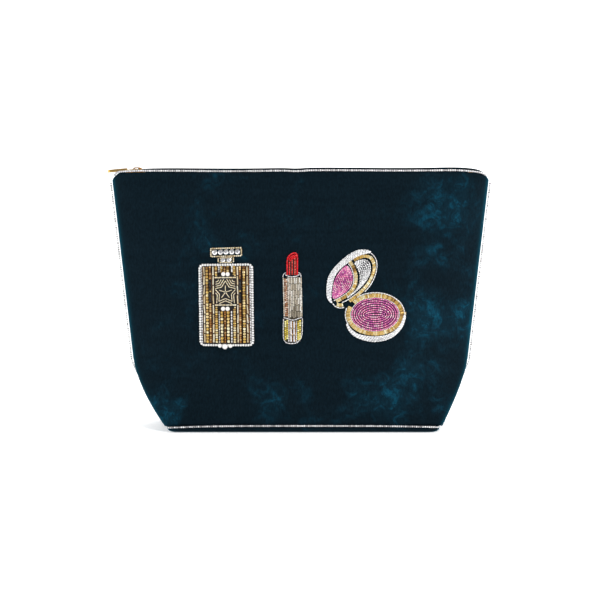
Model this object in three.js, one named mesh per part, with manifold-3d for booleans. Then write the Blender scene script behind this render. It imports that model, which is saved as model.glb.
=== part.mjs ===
// Beaded velvet makeup bag: boxed base, zipped top, three beaded motifs on the front.
// Millimetres, +Z up, front towards -Y, origin in the middle of the base underside.
import * as THREE from 'three';
import { mergeVertices } from 'three/addons/utils/BufferGeometryUtils.js';
import Module from 'manifold-3d';

const wasm = await Module();
wasm.setup();

// Outer form. Heights of the bag's body are measured from the seam line; it stands BODY_LIFT
// higher, on a base thick enough for its board.
const BODY_LIFT = 1.5;
const BASE_HALF_W = 94.3;    // half width of the base
const BASE_SHIFT = 1.9;      // how far the base sits to the right of the rim
const CORNER_SHIFT = 2.4;    // the same lean carried into the cloth of the boxed corners
const APEX_HALF_W = 118.7;   // half width where the boxed corner runs out
const RIM_HALF_W = 132.8;
const APEX_Z = 46;           // top of the boxed corner triangle
const RIM_Z = 177.4;         // front rim
const BACK_RISE = 3;         // the back rim stands this much higher
const FORM_Z = 178;
const BASE_HALF_D = 33;
const RIM_HALF_D = 7.6;
const SEAM_HALF_D = 1.5;     // half thickness where front and back are sewn together
// How the rim falls towards its left and right corners: a slow sag, then a round
const CORNERS = {
  left: { sag: 1.3, sagFrom: 0.83, round: 4.7, roundFrom: 0.95 },
  right: { sag: 2.6, sagFrom: 0.78, round: 2.9, roundFrom: 0.94 },
};
const END_DISH = 2;          // how far the end triangles are drawn in
const SEAM_GAP = 0.15;

// Cloth layers, measured inwards from the outer face
const VELVET = [0, 0.9];
const PADDING = [1.2, 2.4];
const LINING = [2.7, 3.1];
const PANEL_LEVELS = [3.9, 14, 25, 36, APEX_Z, 68, 90, 112, 130, 146, 160];
const CROWN_FROM = 130;      // the rim's rise and corner drop fade in above this height
const PADDING_TOP = 163;
const LINING_TOP = 172.6;
const TRAY_Z = 4.8;

// Zip
const TAPE_Z = 174.4;
const TAPE_T = 0.5;
const TAPE_LEG_Z = 166;
const COIL_Z = 175.2;
const COIL_H = 1.6;
const COIL_IN = 0.6;
const COIL_OUT = 2.4;
const CHAIN_X0 = -106.2;
const CHAIN_X1 = 103.2;
const CHAIN_END_X = 123;

// Slider and pull, closed position
const SLIDER_X0 = -118.7;
const SLIDER_LEN = 10;
const SLIDER_HALF_W = 3.8;
const ROD_X = -114.9;
const ROD_Z = 179.3;
const PULL_LEN = 20.2;
const PULL_SLOPE = 5.4;
const BAR_T = 2.0;           // thickness of the pull beyond its eye

// Trim
const BEAD_R = 0.75;
const GAP = 0.3;

const group = new THREE.Group();

const clamp = (v, a, b) => Math.min(b, Math.max(a, v));

function halfWidth(z) {
  const t = clamp(z / APEX_Z, 0, 1);
  if (z < APEX_Z) return BASE_HALF_W + (APEX_HALF_W - BASE_HALF_W) * (1 - (1 - t) ** 1.38);
  return APEX_HALF_W + ((RIM_HALF_W - APEX_HALF_W) * (z - APEX_Z)) / (FORM_Z - APEX_Z);
}

function centreX(z) {
  return CORNER_SHIFT * (1 - clamp(z / APEX_Z, 0, 1)) ** 2.5;
}

function cornerHalfDepth(z) {
  return SEAM_HALF_D + (BASE_HALF_D - SEAM_HALF_D) * clamp(1 - z / APEX_Z, 0, 1);
}

// Half depth of the bag at height z and at share u of the half width.
function halfDepth(u, z) {
  const s = clamp(z, 0, FORM_Z) / FORM_Z;
  const mid = RIM_HALF_D + (BASE_HALF_D - RIM_HALF_D) * (1 - s ** 1.25);
  const power = 2.6 + 14 * s ** 6;
  const corner = cornerHalfDepth(z);
  return corner + (mid - corner) * (1 - Math.abs(u) ** power);
}

// The same face moved inwards by d, square to its own slope.
function insetDepth(u, z, d) {
  const step = 0.01;
  const run = halfWidth(z) * 2 * step;
  const slope = (halfDepth(u + step, z) - halfDepth(u - step, z)) / run;
  return halfDepth(u, z) - d * Math.hypot(1, slope);
}

function insetHalfWidth(z, d) {
  if (d === 0) return halfWidth(z);
  let lo = 0;
  let hi = 1;
  for (let i = 0; i < 30; i += 1) {
    const m = (lo + hi) / 2;
    if (insetDepth(m, z, d) > 0.35) lo = m;
    else hi = m;
  }
  return Math.min(lo * halfWidth(z), halfWidth(z) - d);
}

function rimDrop(u) {
  const { sag, sagFrom, round, roundFrom } = u < 0 ? CORNERS.left : CORNERS.right;
  const share = (from) => clamp((Math.abs(u) - from) / (1 - from), 0, 1) ** 2;
  return sag * share(sagFrom) + round * share(roundFrom);
}

// The back rim's rise over the front one, kept up further towards the right corner.
function backRise(u, rise) {
  return rise * (1 - Math.abs(u) ** (u < 0 ? 10 : 36)) * (1 + 0.2 * Math.max(0, u) ** 6);
}

// Half depth of the front at a point (x, z)
function depthAt(x, z) {
  return halfDepth(clamp((x - centreX(z)) / halfWidth(z), -1, 1), z);
}

function geometryOf(points, faces) {
  const g = new THREE.BufferGeometry();
  g.setAttribute('position', new THREE.Float32BufferAttribute(points.flat(), 3));
  g.setIndex(faces.flat());
  const flat = g.toNonIndexed();
  flat.computeVertexNormals();
  return flat;
}

function signedVolume(points, faces) {
  return faces.reduce((sum, [a, b, c]) => {
    const [p, q, r] = [points[a], points[b], points[c]];
    const cx = q[1] * r[2] - q[2] * r[1];
    const cy = q[2] * r[0] - q[0] * r[2];
    const cz = q[0] * r[1] - q[1] * r[0];
    return sum + p[0] * cx + p[1] * cy + p[2] * cz;
  }, 0);
}

function solid(points, faces) {
  const out = signedVolume(points, faces) < 0 ? faces.map(([a, b, c]) => [a, c, b]) : faces;
  return geometryOf(points, out);
}

// Closed sheet between two grids of points [row][column].
function slab(outer, inner) {
  const rows = outer.length;
  const cols = outer[0].length;
  const points = [...outer.flat(), ...inner.flat()];
  const at = (side, r, c) => side * rows * cols + r * cols + c;
  const faces = [];
  const quad = (a, b, c, d) => faces.push([a, b, c], [a, c, d]);
  for (let r = 0; r < rows - 1; r += 1) {
    for (let c = 0; c < cols - 1; c += 1) {
      quad(at(0, r, c), at(0, r, c + 1), at(0, r + 1, c + 1), at(0, r + 1, c));
      quad(at(1, r, c), at(1, r + 1, c), at(1, r + 1, c + 1), at(1, r, c + 1));
    }
  }
  for (let c = 0; c < cols - 1; c += 1) {
    quad(at(0, 0, c), at(1, 0, c), at(1, 0, c + 1), at(0, 0, c + 1));
    quad(at(0, rows - 1, c), at(0, rows - 1, c + 1), at(1, rows - 1, c + 1), at(1, rows - 1, c));
  }
  for (let r = 0; r < rows - 1; r += 1) {
    quad(at(0, r, 0), at(0, r + 1, 0), at(1, r + 1, 0), at(1, r, 0));
    quad(at(0, r, cols - 1), at(1, r, cols - 1), at(1, r + 1, cols - 1), at(0, r + 1, cols - 1));
  }
  return solid(points, faces);
}

// Closed body through a row of loops; ends capped unless the row runs round.
function loft(loops, round = false) {
  const n = loops[0].length;
  const points = loops.flat();
  const faces = [];
  const spans = round ? loops.length : loops.length - 1;
  for (let i = 0; i < spans; i += 1) {
    const a = i * n;
    const b = ((i + 1) % loops.length) * n;
    for (let j = 0; j < n; j += 1) {
      const k = (j + 1) % n;
      faces.push([a + j, a + k, b + k], [a + j, b + k, b + j]);
    }
  }
  const last = (loops.length - 1) * n;
  for (let j = 1; !round && j < n - 1; j += 1) {
    faces.push([0, j + 1, j], [last, last + j, last + j + 1]);
  }
  return solid(points, faces);
}

function add(name, geometry, color, roughness, metalness = 0) {
  const material = new THREE.MeshStandardMaterial({ color, roughness, metalness });
  const mesh = new THREE.Mesh(geometry, material);
  mesh.name = name;
  group.add(mesh);
}

function toManifold(geometry) {
  const open = geometry.index ? geometry.toNonIndexed() : geometry;
  const bare = new THREE.BufferGeometry();
  bare.setAttribute('position', open.getAttribute('position').clone());
  const g = mergeVertices(bare, 1e-3);
  const vertProperties = new Float32Array(g.getAttribute('position').array);
  const triVerts = new Uint32Array(g.index.array);
  return new wasm.Manifold(new wasm.Mesh({ numProp: 3, vertProperties, triVerts }));
}

function union(...geometries) {
  const [first, ...rest] = geometries.map(toManifold);
  const mesh = rest.reduce((m, other) => m.add(other), first).getMesh();
  const g = new THREE.BufferGeometry();
  g.setAttribute('position', new THREE.BufferAttribute(mesh.vertProperties.slice(), 3));
  g.setIndex(new THREE.BufferAttribute(mesh.triVerts.slice(), 1));
  const flat = g.toNonIndexed();
  flat.computeVertexNormals();
  return flat;
}

function plateXY(outline, z, t, holes = []) {
  const shape = new THREE.Shape(outline.map(([x, y]) => new THREE.Vector2(x, y)));
  holes.forEach((h) => shape.holes.push(new THREE.Path(h.map(([x, y]) => new THREE.Vector2(x, y)))));
  const g = new THREE.ExtrudeGeometry(shape, { depth: t, bevelEnabled: false });
  g.translate(0, 0, z);
  return g;
}

const box = (x0, x1, y0, y1, z0, z1) => {
  const g = new THREE.BoxGeometry(x1 - x0, y1 - y0, z1 - z0);
  g.translate((x0 + x1) / 2, (y0 + y1) / 2, (z0 + z1) / 2);
  return g;
};

// ---- cloth panels
// side is -1 for the front and +1 for the back
function panelRow(level, side, layer, rise) {
  const cols = 20;
  const row = [];
  const share = clamp((level - CROWN_FROM) / (RIM_Z - CROWN_FROM), 0, 1) ** 2;
  for (let i = 0; i <= cols; i += 1) {
    const t = (i / cols) * 2 - 1;
    const u = Math.sin(t * Math.PI * 0.5) * 0.35 + t * 0.65;
    const z = level + share * (backRise(u, rise) - rimDrop(u));
    const half = insetHalfWidth(z, layer);
    const v = (u * half) / halfWidth(z);
    row.push([centreX(z) + u * half, side * Math.max(insetDepth(v, z, layer), 0.35), z]);
  }
  const dish = END_DISH * clamp(Math.abs(row[0][1]) / 12, 0, 1);
  const first = [row[0][0] + dish, side * SEAM_GAP, row[0][2]];
  const last = [row[cols][0] - dish, side * SEAM_GAP, row[cols][2]];
  return [first, ...row, last];
}

function panel(side, layers, top, rise) {
  const levels = [...PANEL_LEVELS.filter((z) => z < top - 3), top];
  const [outer, inner] = layers.map((d) => levels.map((z) => panelRow(z, side, d, rise)));
  return slab(outer, inner);
}

function baseLoop(inset, z) {
  const corner = 5 - Math.min(inset, 3);
  const [a, b] = [BASE_HALF_W - inset - corner, BASE_HALF_D - inset - corner];
  const loop = [];
  [[1, 1, 0], [-1, 1, 90], [-1, -1, 180], [1, -1, 270]].forEach(([sx, sy, from]) => {
    for (let k = 0; k <= 3; k += 1) {
      const w = THREE.MathUtils.degToRad(from + k * 30);
      loop.push([BASE_SHIFT + sx * a + corner * Math.cos(w), sy * b + corner * Math.sin(w), z]);
    }
  });
  return loop;
}

function base() {
  const tray = [
    [4, 0], [1.6, 0.6], [0.5, 1.6], [0, 3], [0, TRAY_Z], [0.9, TRAY_Z], [0.9, 3], [1.6, 1.5], [4.4, 1],
  ];
  add('base_panel', loft(tray.map(([inset, z]) => baseLoop(inset, z))), 0x14262e, 0.95);
  const board = [1.6, TRAY_Z - 0.5];
  const floor = [board[1] + GAP, board[1] + GAP + 0.4];
  add('base_interlining', loft(board.map((z) => baseLoop(2.2, z))), 0xd8d4c8, 0.9);
  add('base_lining', loft(floor.map((z) => baseLoop(2.4, z))), 0x15151c, 0.6);
}

function panels() {
  [['front', -1, 0], ['back', 1, BACK_RISE]].forEach(([name, side, rise]) => {
    add(`panel_${name}`, panel(side, VELVET, RIM_Z, rise), 0x14262e, 0.95);
    add(`interlining_${name}`, panel(side, PADDING, PADDING_TOP, 0), 0xd8d4c8, 0.9);
    add(`lining_${name}`, panel(side, LINING, LINING_TOP, 0), 0x15151c, 0.6);
  });
}

// ---- zip
function tape(side) {
  const loops = [];
  const count = 14;
  for (let i = 0; i <= count; i += 1) {
    const x = CHAIN_X0 + ((CHAIN_X1 - CHAIN_X0) * i) / count;
    const out = (z) => depthAt(x, z) - 1.6;
    const profile = [
      [out(TAPE_LEG_Z), TAPE_LEG_Z], [out(TAPE_Z), TAPE_Z + TAPE_T], [COIL_IN, TAPE_Z + TAPE_T],
      [COIL_IN, TAPE_Z], [out(TAPE_Z) - TAPE_T, TAPE_Z], [out(TAPE_LEG_Z) - TAPE_T, TAPE_LEG_Z],
    ];
    loops.push(profile.map(([y, z]) => [x, side * y, z]));
  }
  return loops;
}

// The tape profile is not convex, so its ends are closed as two four-sided pieces.
function tapeSolid(side) {
  const loops = tape(side);
  const outer = loops.map((p) => [p[0], p[1], p[2]]);
  const inner = loops.map((p) => [p[5], p[4], p[3]]);
  return slab(outer, inner);
}

function endOutline(sign, reach) {
  const inner = sign < 0 ? CHAIN_X0 - GAP : CHAIN_X1 + GAP;
  const bridge = sign * (CHAIN_END_X - 1.7);
  const far = sign * CHAIN_END_X;
  const [a, b] = [reach(inner), reach(far)];
  return [
    [inner, COIL_IN], [bridge, COIL_IN], [bridge, -COIL_IN], [inner, -COIL_IN],
    [inner, -a], [far, -b], [far, b], [inner, a],
  ];
}

function zip() {
  const tapeReach = (x) => depthAt(x, TAPE_Z) - 1.8;
  [['front', -1], ['back', 1]].forEach(([name, side]) => {
    add(`tape_${name}`, tapeSolid(side), 0x191430, 0.85);
    const [y0, y1] = [side * COIL_IN, side * COIL_OUT].sort((a, b) => a - b);
    const coil = box(CHAIN_X0, CHAIN_X1, y0, y1, COIL_Z, COIL_Z + COIL_H);
    add(`coil_${name}`, coil, 0x1c1836, 0.5);
  });
  [['left', -1], ['right', 1]].forEach(([name, sign]) => {
    add(`tape_end_${name}`, plateXY(endOutline(sign, tapeReach), TAPE_Z, TAPE_T), 0x191430, 0.85);
    const coilEnd = plateXY(endOutline(sign, () => COIL_OUT), COIL_Z, COIL_H);
    add(`coil_end_${name}`, coilEnd, 0x1c1836, 0.5);
  });
  const top = COIL_Z + COIL_H + 0.2;
  add('top_stop', box(-122.4, -119.4, -2.5, 2.5, top, top + 0.5), 0xc89a4a, 0.3, 1);
  add('bottom_stop', box(117.6, 121, -2.5, 2.5, top, top + 0.7), 0xc89a4a, 0.3, 1);
}

// ---- slider
function sliderOutline(shrink) {
  const w = SLIDER_HALF_W - shrink;
  const [x0, x1] = [SLIDER_X0 + shrink, SLIDER_X0 + SLIDER_LEN - shrink];
  return [
    [x0, -w + 1.4], [x0 + 1.2, -w], [x0 + 4, -w], [x1 - 2, -w + 0.5], [x1, -w + 1.5],
    [x1, w - 1.5], [x1 - 2, w - 0.5], [x0 + 4, w], [x0 + 1.2, w], [x0, w - 1.4],
  ];
}

function slider() {
  const coilTop = COIL_Z + COIL_H;
  const plateZ = coilTop + GAP;
  const [fx0, fx1] = [SLIDER_X0 + 1.6, SLIDER_X0 + 6.5];
  const flange = (side) => {
    const [y0, y1] = [side * 3, side * (SLIDER_HALF_W - 0.1)].sort((a, b) => a - b);
    return box(fx0, fx1, y0, y1, TAPE_Z + TAPE_T + GAP, plateZ + 0.4);
  };
  const body = union(
    plateXY(sliderOutline(0), plateZ, 0.8),
    plateXY(sliderOutline(0.2), TAPE_Z - GAP - 0.9, 0.9),
    box(SLIDER_X0 + 0.5, SLIDER_X0 + 2.7, -0.25, 0.25, TAPE_Z - 0.7, plateZ + 0.4),
    flange(-1),
    flange(1),
  );
  add('slider_body', body, 0xc8923c, 0.3, 1);
  const z0 = plateZ + 0.8 + GAP;
  const [a, b, top] = [ROD_X - 2.3, ROD_X + 4.1, ROD_Z + 1.5];
  const arch = [
    [a, z0], [a + 0.9, z0], [a + 1, top - 1], [a + 1.5, top - 0.7], [b - 3.1, top - 0.7],
    [b - 2.6, top - 1.2], [b - 2.6, z0], [b, z0], [b - 0.1, top - 0.9], [b - 1.4, top - 0.1],
    [b - 2.4, top], [a + 1.2, top], [a + 0.4, top - 0.3], [a, top - 1],
  ];
  const crown = plateXY(arch, -1, 2);
  crown.rotateX(Math.PI / 2);
  add('slider_crown', crown, 0xc8923c, 0.3, 1);
}

// Flat eye whose end bar lies under the crown, and a thicker bar beyond it.
function pull() {
  const side = [[0.45, 1.9], [0, 2.3], [-5, 2.3], [-6, 1.9], [-8, 1.7], [-12, 2.1], [-16.5, 2.4]];
  const tip = [[-18.6, 2.2], [-19.7, 1.4], [-PULL_LEN, 0]];
  const outline = (half, inset) => {
    const upper = half.map(([x, y]) => [Math.max(x, -PULL_LEN + inset), Math.max(y - inset, 0)]);
    return [...upper, ...upper.slice(0, -1).reverse().map(([x, y]) => [x, -y])];
  };
  const eye = [[-0.45, 1.3], [-0.45, -1.3], [-4.4, -1.3], [-4.8, -0.9], [-4.8, 0.9], [-4.4, 1.3]];
  const g = union(
    plateXY(outline([...side, ...tip], 0), -0.45, 0.9, [eye]),
    plateXY(outline([[-6.4, 1.8], ...side.slice(4), ...tip], 0.2), 0, BAR_T - 0.45),
  );
  g.rotateY(-THREE.MathUtils.degToRad(PULL_SLOPE));
  g.translate(ROD_X, 0, ROD_Z);
  add('pull_tab', g, 0xcda050, 0.3, 1);
}

// ---- bead trim
function cord(path, radius, round = false, sides = 6) {
  const curve = path.map((p) => new THREE.Vector3(...p));
  const n = curve.length;
  const loops = curve.map((p, i) => {
    const a = curve[round ? (i + n - 1) % n : Math.max(i - 1, 0)];
    const b = curve[round ? (i + 1) % n : Math.min(i + 1, n - 1)];
    const t = b.clone().sub(a).normalize();
    const side = new THREE.Vector3(0, 1, 0).addScaledVector(t, -t.y).normalize();
    const up = new THREE.Vector3().crossVectors(t, side);
    return Array.from({ length: sides }, (_, k) => {
      const w = (k / sides) * Math.PI * 2;
      const q = p.clone().addScaledVector(side, radius * Math.cos(w));
      q.addScaledVector(up, radius * Math.sin(w));
      return q.toArray();
    });
  });
  return loft(loops, round);
}

function trims() {
  const rim = [];
  for (let i = 0; i <= 28; i += 1) {
    const u = Math.sin(((i / 28) * 2 - 1) * Math.PI * 0.5) * 0.985;
    const z = RIM_Z - rimDrop(u);
    rim.push([u * halfWidth(z), -(halfDepth(u, z) - 0.35), z + GAP + BEAD_R + 0.1]);
  }
  add('trim_rim', cord(rim, BEAD_R), 0xe8e6e4, 0.25);
  [['left', -1], ['right', 1]].forEach(([name, sign]) => {
    const path = [];
    for (let i = 0; i <= 16; i += 1) {
      const z = 4 + (170.2 - 4) * (i / 16) ** 1.2;
      const dish = END_DISH * clamp((cornerHalfDepth(z) - 1.5) / 12, 0, 1);
      const out = halfWidth(z) - dish + GAP + BEAD_R + 0.25 * clamp(dish, 0, 1);
      path.push([centreX(z) + sign * out, 0, z]);
    }
    add(`trim_side_${name}`, cord(path, BEAD_R), 0xe8e6e4, 0.25);
  });
  const y = -(BASE_HALF_D + GAP + BEAD_R);
  const [x0, x1] = [BASE_SHIFT - BASE_HALF_W + 1, BASE_SHIFT + BASE_HALF_W - 1];
  add('trim_base', cord([[x0, y, 3.6], [(x0 + x1) / 2, y, 3.6], [x1, y, 3.6]], BEAD_R), 0xe8e6e4, 0.25);
}

// ---- beaded motifs, laid on the front face
const onFront = (x, z, lift) => [x, -(depthAt(x, z) + lift), z];

// Sheet between left(z) and right(z), from z0 to z1.
function patch(z0, z1, left, right, lift, t, rows = 4, cols = 3) {
  const grid = (d) => Array.from({ length: rows + 1 }, (_, r) => {
    const z = z0 + ((z1 - z0) * r) / rows;
    return Array.from({ length: cols + 1 }, (__, c) => {
      const x = left(z) + ((right(z) - left(z)) * c) / cols;
      return onFront(x, z, d);
    });
  });
  return slab(grid(lift + t), grid(lift));
}

// Ring between two outlines with the same number of points.
function band(outer, inner, lift, t, round = true) {
  const loops = outer.map(([x, z], i) => {
    const [p, q] = inner[i];
    return [onFront(x, z, lift), onFront(x, z, lift + t), onFront(p, q, lift + t), onFront(p, q, lift)];
  });
  return loft(loops, round);
}

function ellipse(cx, cz, a, b, from = 0, to = 360, n = 20) {
  const whole = to - from === 360;
  return Array.from({ length: whole ? n : n + 1 }, (_, i) => {
    const w = THREE.MathUtils.degToRad(from + ((to - from) * i) / n);
    return [cx + a * Math.cos(w), cz + b * Math.sin(w)];
  });
}

function rectangle(x0, x1, z0, z1, nx = 3, nz = 5) {
  const out = [];
  for (let i = 0; i < nx; i += 1) out.push([x0 + ((x1 - x0) * i) / nx, z0]);
  for (let i = 0; i < nz; i += 1) out.push([x1, z0 + ((z1 - z0) * i) / nz]);
  for (let i = 0; i < nx; i += 1) out.push([x1 - ((x1 - x0) * i) / nx, z1]);
  for (let i = 0; i < nz; i += 1) out.push([x0, z1 - ((z1 - z0) * i) / nz]);
  return out;
}

const ball = (x, z, r) => {
  const g = new THREE.SphereGeometry(r, 10, 7);
  g.translate(...onFront(x, z, GAP + r));
  return g;
};

const fixed = (v) => () => v;

function bottle() {
  const outer = rectangle(-70.7, -31.9, 57.4, 114.7);
  add('bottle_outline', band(outer, rectangle(-69.1, -33.5, 59, 113.1), GAP, 1.5), 0xe8e6e4, 0.25);
  const field = rectangle(-68.7, -33.9, 59.4, 112.7);
  add('bottle_columns', band(field, rectangle(-61.3, -41.8, 82.2, 108.6), GAP, 1.5), 0xc89a50, 0.3);
  const label = patch(85, 105.4, fixed(-60.6), fixed(-42.5), GAP, 0.8);
  add('bottle_label', label, 0x101014, 0.4);
  const star = [];
  for (let k = 0; k < 10; k += 1) {
    const w = THREE.MathUtils.degToRad(90 + k * 36);
    const r = k % 2 ? 2.2 : 5.4;
    star.push([-51.5 + r * Math.cos(w), 95.6 + r * Math.sin(w)]);
  }
  const small = star.map(([x, z]) => [-51.5 + (x + 51.5) * 0.72, 95.6 + (z - 95.6) * 0.72]);
  add('bottle_star', band(star, small, GAP + 1.1, 0.7), 0xe8e6e4, 0.25);
  add('bottle_pearls_upper', union(ball(-53.6, 107.1, 1.5), ball(-50.8, 107.1, 1.5)), 0xf1ece2, 0.25);
  add('bottle_pearls_lower', union(ball(-53.6, 83.7, 1.4), ball(-50.9, 83.7, 1.4)), 0xf1ece2, 0.25);
  add('bottle_neck', patch(115.3, 118.8, fixed(-57.1), fixed(-46.2), GAP, 1.6, 1, 2), 0xe8e6e4, 0.2);
  const capOuter = rectangle(-62.7, -40.2, 119.2, 126.2, 3, 1);
  add('bottle_cap', band(capOuter, rectangle(-61.3, -41.6, 120.6, 124.8, 3, 1), GAP, 1.4), 0xd8c8a0, 0.3);
  const stones = patch(121, 124.4, fixed(-60.9), fixed(-42), GAP, 1.9, 1, 4);
  add('bottle_cap_stones', stones, 0xf4f4f6, 0.15);
}

function lipstick() {
  const bulletRight = (z) => Math.min(-0.8, -0.8 - (z - 116) * 0.55);
  const bulletLeft = (z) => Math.max(-9.7, -9.7 + (z - 118.4) * 0.6);
  add('lipstick_bullet', patch(107.5, 122.2, bulletLeft, bulletRight, GAP, 1.6, 5, 2), 0xd01828, 0.3);
  add('lipstick_collar', patch(105.9, 107.1, fixed(-11.9), fixed(0.9), GAP, 1.7, 1, 2), 0xe8e6e4, 0.25);
  add('lipstick_barrel', patch(77.6, 105.5, fixed(-12.6), fixed(1.6), GAP, 1.5, 4, 2), 0xc8c6c8, 0.25);
  const taper = (z) => Math.max(0, 61.5 - z);
  const left = (z) => -12.4 + taper(z);
  const right = (z) => 1.9 - taper(z);
  add('lipstick_case', patch(59.3, 77.2, left, right, GAP, 1.5, 8, 2), 0xd8be3c, 0.3);
}

// Points on a smooth bow from a to c through b.
function bow(a, b, c, n = 9) {
  return Array.from({ length: n + 1 }, (_, i) => {
    const t = i / n;
    const through = (k) => 2 * b[k] - (a[k] + c[k]) / 2;
    return [0, 1].map((k) => (1 - t) ** 2 * a[k] + 2 * t * (1 - t) * through(k) + t * t * c[k]);
  });
}

function compact() {
  const strip = (outer, inner, t) => band(outer, inner, GAP, t, false);
  const rimOut = bow([48.4, 123.6], [18.9, 111], [19.4, 88.6]);
  const rimIn = bow([47, 121.9], [22, 109.3], [22, 89.6]);
  const rim = strip(rimOut, rimIn, 1.5);
  add('compact_lid_rim', rim, 0xe8e6e4, 0.25);
  const goldOut = bow([47.2, 120.6], [51.8, 99.8], [27.6, 84]);
  const goldIn = bow([45, 117.7], [47.8, 100.2], [28.6, 86.8]);
  add('compact_lid_band', strip(goldOut, goldIn, 1.4), 0xcaa14e, 0.3);
  const mirrorOut = bow([43.8, 116.4], [46.4, 101.4], [31, 89.6]);
  const mirrorIn = bow([38.2, 117], [41.9, 103.2], [30, 90.6]);
  add('compact_mirror', strip(mirrorOut, mirrorIn, 1.3), 0xe8e6e4, 0.2);
  const arcOut = bow([36.2, 117.2], [40.5, 103.4], [26.2, 88.4]);
  const arcIn = bow([34.6, 116.4], [38.7, 103.4], [25, 89.4]);
  add('compact_inner_arc', strip(arcOut, arcIn, 1.5), 0xcaa14e, 0.3);
  const blushOut = bow([33.4, 113.6], [37.2, 103.2], [24.2, 91]);
  const blushIn = bow([31.6, 113], [25, 103.8], [22.9, 92.4]);
  const blush = strip(blushOut, blushIn, 1.4);
  add('compact_blush', blush, 0xd8509c, 0.3);
  const pan = (z) => 15.7 * Math.sqrt(Math.max(0.01, 1 - ((z - 79.4) / 10.9) ** 2));
  const powder = patch(68.6, 90.2, (z) => 51.3 - pan(z), (z) => 51.3 + pan(z), GAP, 1.5, 7, 4);
  add('compact_powder', powder, 0xe060a8, 0.3);
  const ring = [ellipse(51.5, 79.4, 19.6, 13.6, -176, 88), ellipse(51.5, 79.4, 16.4, 11.4, -176, 88)];
  add('compact_ring', strip(...ring, 1.5), 0xcaa14e, 0.3);
  const cup = [ellipse(51.8, 79.4, 23.2, 20, 200, 350, 12), ellipse(51.8, 79.4, 20.6, 15, 200, 350, 12)];
  add('compact_base_rim', strip(...cup, 1.5), 0xe8e6e4, 0.25);
  add('compact_clasp', patch(79, 82.2, fixed(72), fixed(75.2), GAP, 1.4, 1, 1), 0xcaa14e, 0.3);
}

panels();
zip();
slider();
pull();
trims();
bottle();
lipstick();
compact();
group.children.forEach((mesh) => mesh.geometry.translate(0, 0, BODY_LIFT));
base();

export default group;
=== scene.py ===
import math

import bmesh
import bpy
import numpy as np
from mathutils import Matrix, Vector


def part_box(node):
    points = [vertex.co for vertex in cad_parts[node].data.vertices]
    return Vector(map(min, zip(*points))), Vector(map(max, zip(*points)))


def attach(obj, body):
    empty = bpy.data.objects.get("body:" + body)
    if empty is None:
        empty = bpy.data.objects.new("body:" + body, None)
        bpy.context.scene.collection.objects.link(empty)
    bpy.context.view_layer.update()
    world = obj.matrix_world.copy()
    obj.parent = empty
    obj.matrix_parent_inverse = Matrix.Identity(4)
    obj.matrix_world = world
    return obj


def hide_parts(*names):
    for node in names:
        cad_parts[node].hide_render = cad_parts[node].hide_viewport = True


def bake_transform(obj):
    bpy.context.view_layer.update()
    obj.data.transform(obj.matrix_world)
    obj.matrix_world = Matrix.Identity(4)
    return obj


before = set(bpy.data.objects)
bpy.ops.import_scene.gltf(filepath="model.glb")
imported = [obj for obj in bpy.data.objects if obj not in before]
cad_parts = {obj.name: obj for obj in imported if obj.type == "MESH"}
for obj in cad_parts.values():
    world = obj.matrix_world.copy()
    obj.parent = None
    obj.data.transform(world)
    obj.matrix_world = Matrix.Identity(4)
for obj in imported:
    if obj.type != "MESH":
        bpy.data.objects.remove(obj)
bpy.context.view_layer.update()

MM = 0.001


# --- The camera and the room ------------------------------------------------
# A long lens stands a metre in front of the bag, a little above its middle, so that a
# thin line of the back rim shows over the front one. The room is a white paper sweep that glows faintly:
# painted light.
LENS = 85
CAMERA_AWAY = 1.0
CAMERA_LIFT = math.radians(5)
AIM_Z = 0.089

eye = bpy.data.objects.new("camera", bpy.data.cameras.new("camera"))
bpy.context.scene.collection.objects.link(eye)
eye.data.lens = LENS
eye.data.sensor_width = 36
eye.data.clip_start = 0.01
eye.location = (-0.35 * MM, -CAMERA_AWAY * math.cos(CAMERA_LIFT),
                AIM_Z + CAMERA_AWAY * math.sin(CAMERA_LIFT))
eye.rotation_euler = (math.pi / 2 - CAMERA_LIFT, 0, 0)
bpy.context.scene.camera = eye


def soft_box(name, place, aim, width, height, watts):
    """A rectangular light at place, turned to face aim."""
    data = bpy.data.lights.new(name, "AREA")
    data.shape = "RECTANGLE"
    data.size, data.size_y, data.energy = width, height, watts
    lamp = bpy.data.objects.new(name, data)
    bpy.context.scene.collection.objects.link(lamp)
    lamp.location = place
    away = lamp.location - type(lamp.location)(aim)
    lamp.rotation_euler = away.to_track_quat("Z", "Y").to_euler()
    return lamp


soft_box("key", (0.6, -0.85, 1.15), (0, 0, 0.09), 0.4, 0.3, 10)
soft_box("fill", (-1.2, -1.0, 0.55), (0, 0, 0.09), 0.8, 0.9, 4)
soft_box("edge_right", (0.95, 0.05, 0.22), (0.1, 0, 0.06), 0.35, 0.6, 6)
soft_box("edge_left", (-0.95, 0.05, 0.35), (-0.1, 0, 0.1), 0.3, 0.6, 3)
soft_box("paper_wash", (0, 1.2, 2.2), (0, 2.2, 0.4), 2.4, 0.8, 45)

room = bpy.data.worlds.new("room")
bpy.context.scene.world = room
room.use_nodes = True
room.node_tree.nodes["Background"].inputs["Color"].default_value = (0.97, 0.98, 1, 1)
room.node_tree.nodes["Background"].inputs["Strength"].default_value = 0.34
bpy.context.scene.view_settings.view_transform = "Standard"

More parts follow.
